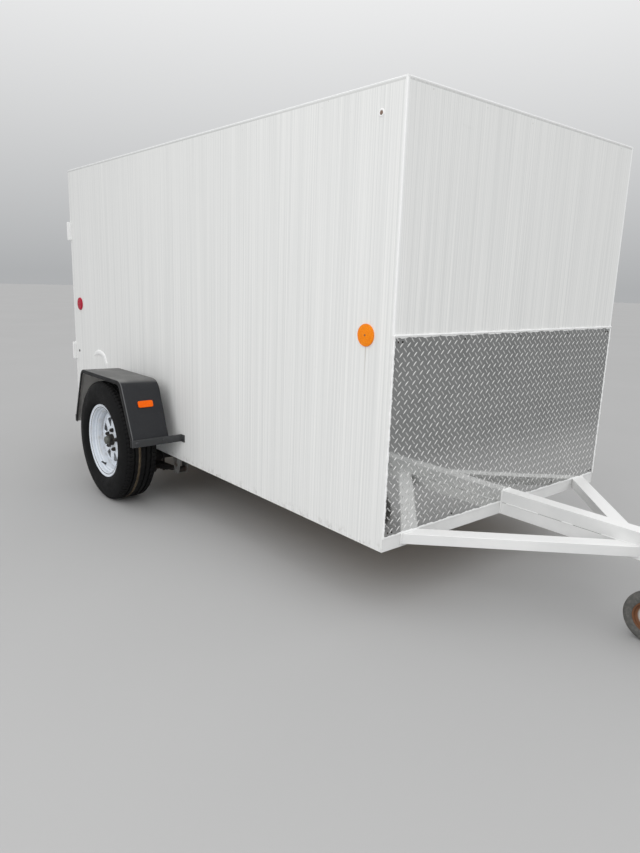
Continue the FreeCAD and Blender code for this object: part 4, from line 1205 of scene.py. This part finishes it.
def coupler_shell():
    """Stamped coupler: an arched section carried along x, its width and height falling to the ball's dome.

    The section is a superellipse from side to side, boxy over the beam and round over the ball.
    """
    low, high = coupler_low, coupler_high
    ball_x = high.x - ball_head
    stations = np.concatenate([np.linspace(low.x, ball_x - 0.1, 10),
                               np.linspace(ball_x - 0.09, ball_x, 10),
                               ball_x + ball_head * np.sin(np.linspace(0.1, math.pi / 2 - 0.02, 12))])
    to_head = np.clip((stations - (ball_x - 0.115)) / 0.075, 0, 1)
    to_head = to_head * to_head * (3 - 2 * to_head)
    past = np.sqrt(np.clip(1 - (np.clip(stations - ball_x, 0, 1) / ball_head) ** 2, 0, 1))
    half = (high.y + (ball_head - high.y) * to_head) * past
    top = high.z - 0.002 * to_head
    rise = (top - low.z) * (0.45 + 0.55 * past)
    power = 0.16 + (0.62 - 0.16) * to_head
    turn = np.linspace(0, math.pi, 41)[None]
    cosine, sine = np.cos(turn), np.sin(turn)
    beside = np.sign(cosine) * abs(cosine) ** power[:, None] * half[:, None]
    lift = abs(sine) ** power[:, None] * rise[:, None]
    return lattice(spread(stations[:, None], beside, low.z + lift)[:, ::-1])


def coupler_bolts():
    """Two bolts across the coupler and the beam, with nuts on the far side."""
    parts = []
    for reach in coupler_bolt_places:
        x, z = coupler_low.x + reach, coupler_low.z + coupler_bolt_height
        parts.append(hex_head((x, coupler_low.y, z), -Y, 0.017, 0.008, 0.013))
        parts.append(hex_head((x, coupler_high.y, z), Y, 0.017, 0.01, 0.013))
    return gathered(*parts)


def caster_tyre():
    """Solid caster tyre: a rounded section turned about its axle."""
    radius = (caster_high.z - caster_low.z) / 2
    half = (caster_high.y - caster_low.y) / 2
    knots = [(half * 0.9, 0.0605), (half, 0.066), (half, 0.08), (half * 0.86, radius - 0.005),
             (half * 0.5, radius - 0.0008), (0, radius)]
    right = flowing(knots, 5)
    section = np.vstack([right, right[-2::-1] * (-1, 1)])
    return revolved(section, caster_centre, Y, 96, closed=True)


def caster_rim():
    """Caster wheel: hub, dished web and flanged rim, turned about its axle."""
    low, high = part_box("jack_wheel_rim")
    hub = (high.y - low.y) / 2
    half = [(hub, 0.0085), (hub, 0.0195), (hub - 0.002, 0.0205), (0.0085, 0.0215), (0.0065, 0.03),
            (0.0075, 0.042), (0.0125, 0.0515), (0.0195, 0.0545), (0.0205, 0.0575), (0.0205, 0.0598)]
    section = half + [(-out, radius) for out, radius in reversed(half)]
    return revolved(section, caster_centre, Y, 72, closed=True)


def jack_trim():
    """Jack: plain collar low on the tube, a filler plug under the crank and the bracket's four bolts."""
    low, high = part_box("jack_tube")
    leg_low, leg_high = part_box("jack_leg")
    x, y = (leg_low.x + leg_high.x) / 2, (leg_low.y + leg_high.y) / 2
    collar = [(0, jack_radius), (0, 0.0305), (0.002, 0.0315), (0.016, 0.0315), (0.018, 0.0305),
              (0.018, jack_radius)]
    plug = hex_head((x + jack_radius, y, high.z - 0.055), X, 0.011, 0.006)
    middle = right_middle("jack_bracket", 0.0)
    along, up = jack_bolt_gaps
    places = [middle + (dx, 0, dz) for dx in (-along, along) for dz in (-up, up)]
    return gathered(revolved(collar, (x, y, low.z + 0.0005), Z, 64, closed=True), plug,
                    heads(hex_head, places, -Y, 0.013, 0.007, 0.0105))


def set_stage():
    """Pale floor, soft sky and two broad lamps."""
    corner = np.array([[(-1, -1, 0), (-1, 1, 0)], [(1, -1, 0), (1, 1, 0)]]) * floor_half
    mesh = mesh_of("floor_sheet", lattice(corner))
    f = Finish("studio_floor")
    tone = f.mix(f.noise(0.6, 2.0), (0.4, 0.4, 0.4), (0.44, 0.44, 0.44))
    mesh.materials.append(f.done(Base_Color=tone, Roughness=0.8))
    floor = in_scene("floor_sheet", mesh)
    sky = Finish("soft_sky", sky=True)
    ramp = sky.add("ShaderNodeValToRGB", inputs={0: sky.z})
    stops = zip(ramp.socket.node.color_ramp.elements, (0.0, 0.6), ((0.38, 0.388, 0.396), (1.0, 1.0, 1.0)))
    for stop, place, tone in stops:
        adjusted(stop, position=place, color=(*tone, 1.0))
    light = sky.add("ShaderNodeBackground", inputs={"Color": ramp, "Strength": 1.12})
    bpy.context.scene.world = sky.send(light, "World")
    for name, place, power, size in lamps:
        lamp = adjusted(bpy.data.lights.new(name, "AREA"), energy=power, size=size)
        turn = (lamp_aim - Vector(place)).to_track_quat("-Z", "Y").to_euler()
        in_scene(name, lamp, location=place, rotation_euler=turn, visible_glossy=name == "key")


def set_camera():
    """Camera at the photograph's place, its sensor measured along the picture's long side."""
    lens = focal_pixels * sensor_side / picture_height
    view = adjusted(bpy.data.cameras.new("camera"), sensor_width=sensor_side, lens=lens)
    turn = [math.radians(part) for part in camera_turn_deg]
    bpy.context.scene.camera = in_scene("camera", view, location=camera_place, rotation_euler=turn)


# Each finish with its usual slot
finishes = {
    "wall": (combed_paint("combed_paint"), "white_panel"),
    "roof": (combed_paint("combed_roof_paint", lengthwise=True), "white_panel"),
    "enamel": (brushed_enamel("brushed_enamel"), "white_frame"),
    "aluminium": (bright_aluminium(), "tread_plate"),
    "plywood": (plywood(), "floor_ply"),
    "charcoal": (charcoal_paint(), "fender_grey"),
    "wheel": (wheel_enamel(), "wheel_white"),
    "rubber": (tyre_rubber(), "tyre"),
    "grease": (mottled("greasy_steel", 55.0, 5.0, ((0.01, 0.01, 0.01), (0.045, 0.036, 0.028)),
                       0.38, 0.35, 0.0008, (0.35, 0.7), 0.8, Metallic=0.3), "hub_black"),
    "cap": (aged_steel("cap_steel", (0.13, 0.135, 0.12), (0.09, 0.07, 0.05), 0.4, 0.4), "hub_black"),
    "axle": (aged_steel("axle_steel", (0.022, 0.021, 0.02), (0.05, 0.034, 0.026), 0.5), "axle_steel"),
    "spring": (aged_steel("spring_steel", (0.026, 0.024, 0.023), (0.06, 0.038, 0.028), 0.5), "spring_steel"),
    "hanger": (aged_steel("hanger_steel", (0.2, 0.2, 0.195), (0.08, 0.058, 0.045), 0.5), "axle_steel"),
    "bracket": (aged_steel("bracket_steel", (0.055, 0.057, 0.06), (0.17, 0.12, 0.09), 0.2, 0.45),
                "bracket_steel"),
    "amber": (lens_plastic("amber_lens", (0.8, 0.2, 0.004), (0.95, 0.33, 0.01)), "lens_amber"),
    "orange": (lens_plastic("orange_lens", (0.85, 0.11, 0.001), (0.97, 0.19, 0.002)), "lens_amber"),
    "red": (lens_plastic("red_lens", (0.34, 0.003, 0.022), (0.58, 0.006, 0.045)), "lens_red"),
    "zinc": (zinc_plate(), "zinc"),
    "caster_rubber": (mottled("worn_rubber", 70.0, 5.0, ((0.085, 0.085, 0.08), (0.145, 0.14, 0.13)),
                              0.7, 0.15, 0.0005, (0.4, 0.7)), "jack_rubber"),
    "caster_steel": (caster_steel(), "jack_rust"),
    "sealant": (mottled("fresh_sealant", 140.0, 3.0, ((0.86, 0.87, 0.87), (0.93, 0.93, 0.92)),
                        0.28, 0.0, 0.0006), "white_panel"),
    "plastic": (mottled("dark_plastic", 600.0, 3.0, ((0.016, 0.016, 0.017), (0.04, 0.04, 0.04)),
                        0.45, 0.2, 0.0002), "tyre"),
    "rust": (aged_steel("rusty_screw", (0.25, 0.2, 0.16), (0.28, 0.11, 0.05), 0.8), "zinc"),
}

# CAD nodes that stay, with their finish
kept_nodes = (("wall_left", "wall"), ("wall_right", "wall"), ("wall_front", "wall"), ("roof", "roof"),
              ("tread_plate", "aluminium"), ("floor", "plywood"), ("jack_leg", "zinc"))
for node, finish in kept_nodes:
    frame["nodes"][node].data.materials.clear()
    frame["nodes"][node].data.materials.append(finishes[finish][0])

# CAD nodes whose edges are eased: edge radius, finish, slot where it isn't the usual one, nodes
eased_nodes = (
    (0.0045, "enamel", "", "front_member"),
    (0.0035, "enamel", "", "side_rails"),
    (0.003, "enamel", "", "crossmembers"),
    (0.0035, "enamel", "", "rear_sill"),
    (0.002, "enamel", "", "rear_posts", "rear_header"),
    (0.004, "enamel", "", "tongue_beam_lower", "tongue_beam_upper"),
    (0.005, "enamel", "", "tongue_legs"),
    (0.0012, "enamel", "", "hinge_leaves", "hinges_left", "hinges_right"),
    (0.002, "wall", "", "door_left", "door_right"),
    (0.0015, "zinc", "", "door_keepers"),
    (0.0012, "zinc", "", "lock_bar_left", "lock_bar_right"),
    (0.0015, "zinc", "", "coupler_latch", "jack_bracket", "jack_tube", "jack_crank"),
    (0.001, "zinc", "", "jack_fork"),
    (0.002, "axle", "", "axle"),
    (0.001, "spring", "", "spring_left", "spring_right"),
    (0.0012, "spring", "axle_steel", "spring_clamps"),
    (0.0012, "hanger", "", "spring_hangers", "spring_shackles"),
    (0.0012, "bracket", "", "fender_brackets"),
)
for edge, finish, slot, *nodes in eased_nodes:
    for node in nodes:
        eased(node, edge, finish, slot)

# Pieces with a twin, each named as its function: finish, node it stands for, body, sheet thickness
paired_pieces = (
    (treaded_tyre, "rubber", "tyre", "wheel"),
    (wheel_barrel, "wheel", "rim", "wheel"),
    (wheel_disc, "wheel", "", "wheel", sheet),
    (lug_nuts, "grease", "", "wheel"),
    (hub_barrel, "grease", "hub", "wheel"),
    (dust_cap, "cap", "", "wheel"),
    (valve, "plastic", "", "wheel"),
    (fender_sheet, "charcoal", "fender", "", sheet),
    (fender_bolts, "bracket"),
    (strap_bolts, "enamel", "", "door"),
    (guide_bolts, "zinc", "", "door"),
)
for make, *details in paired_pieces:
    pair(make.__name__, make(), *details)

# Single pieces: finish, node it stands for, slot where it isn't the usual one, body, sheet thickness
single_pieces = (
    (tread_bars, "aluminium"),
    # The edge paint takes the whiter sealant finish, which partly paints the edges' bright highlight.
    (edge_paint, "sealant", "edge_trims", "white_frame"),
    (plate_sealant, "sealant"),
    (amber_lenses, "amber", "reflectors_amber"),
    (red_lenses, "red", "reflectors_red"),
    (lens_screws, "rust"),
    (fender_lenses_front, "orange", "fender_reflectors_front"),
    (fender_lenses_rear, "red", "fender_reflectors_rear"),
    (tail_lenses, "red", "tail_lamps"),
    (tongue_welds, "enamel"),
    # Dark bar in the seam: painted shade.
    (tongue_seam, "grease", "", "white_frame"),
    (paint_lap, "sealant"),
    (plate_screws, "grease", "", "zinc"),
    (wall_bead, "sealant"),
    (wall_screw, "rust"),
    (screw_ring, "sealant"),
    (wall_bolt, "grease"),
    (hinge_bolts, "enamel"),
    (hinge_blocks, "sealant", "", "white_frame"),
    (coupler_shell, "zinc", "coupler", "", "chassis", coupler_sheet),
    (coupler_bolts, "zinc"),
    (caster_tyre, "caster_rubber", "jack_wheel_tyre", "", "jack_wheel"),
    (caster_rim, "caster_steel", "jack_wheel_rim", "", "jack_wheel"),
    (jack_trim, "zinc"),
)
for make, *details in single_pieces:
    piece(make.__name__, make(), *details)

set_stage()
set_camera()
bpy.context.scene.view_settings.view_transform = "Standard"
bpy.context.view_layer.update()
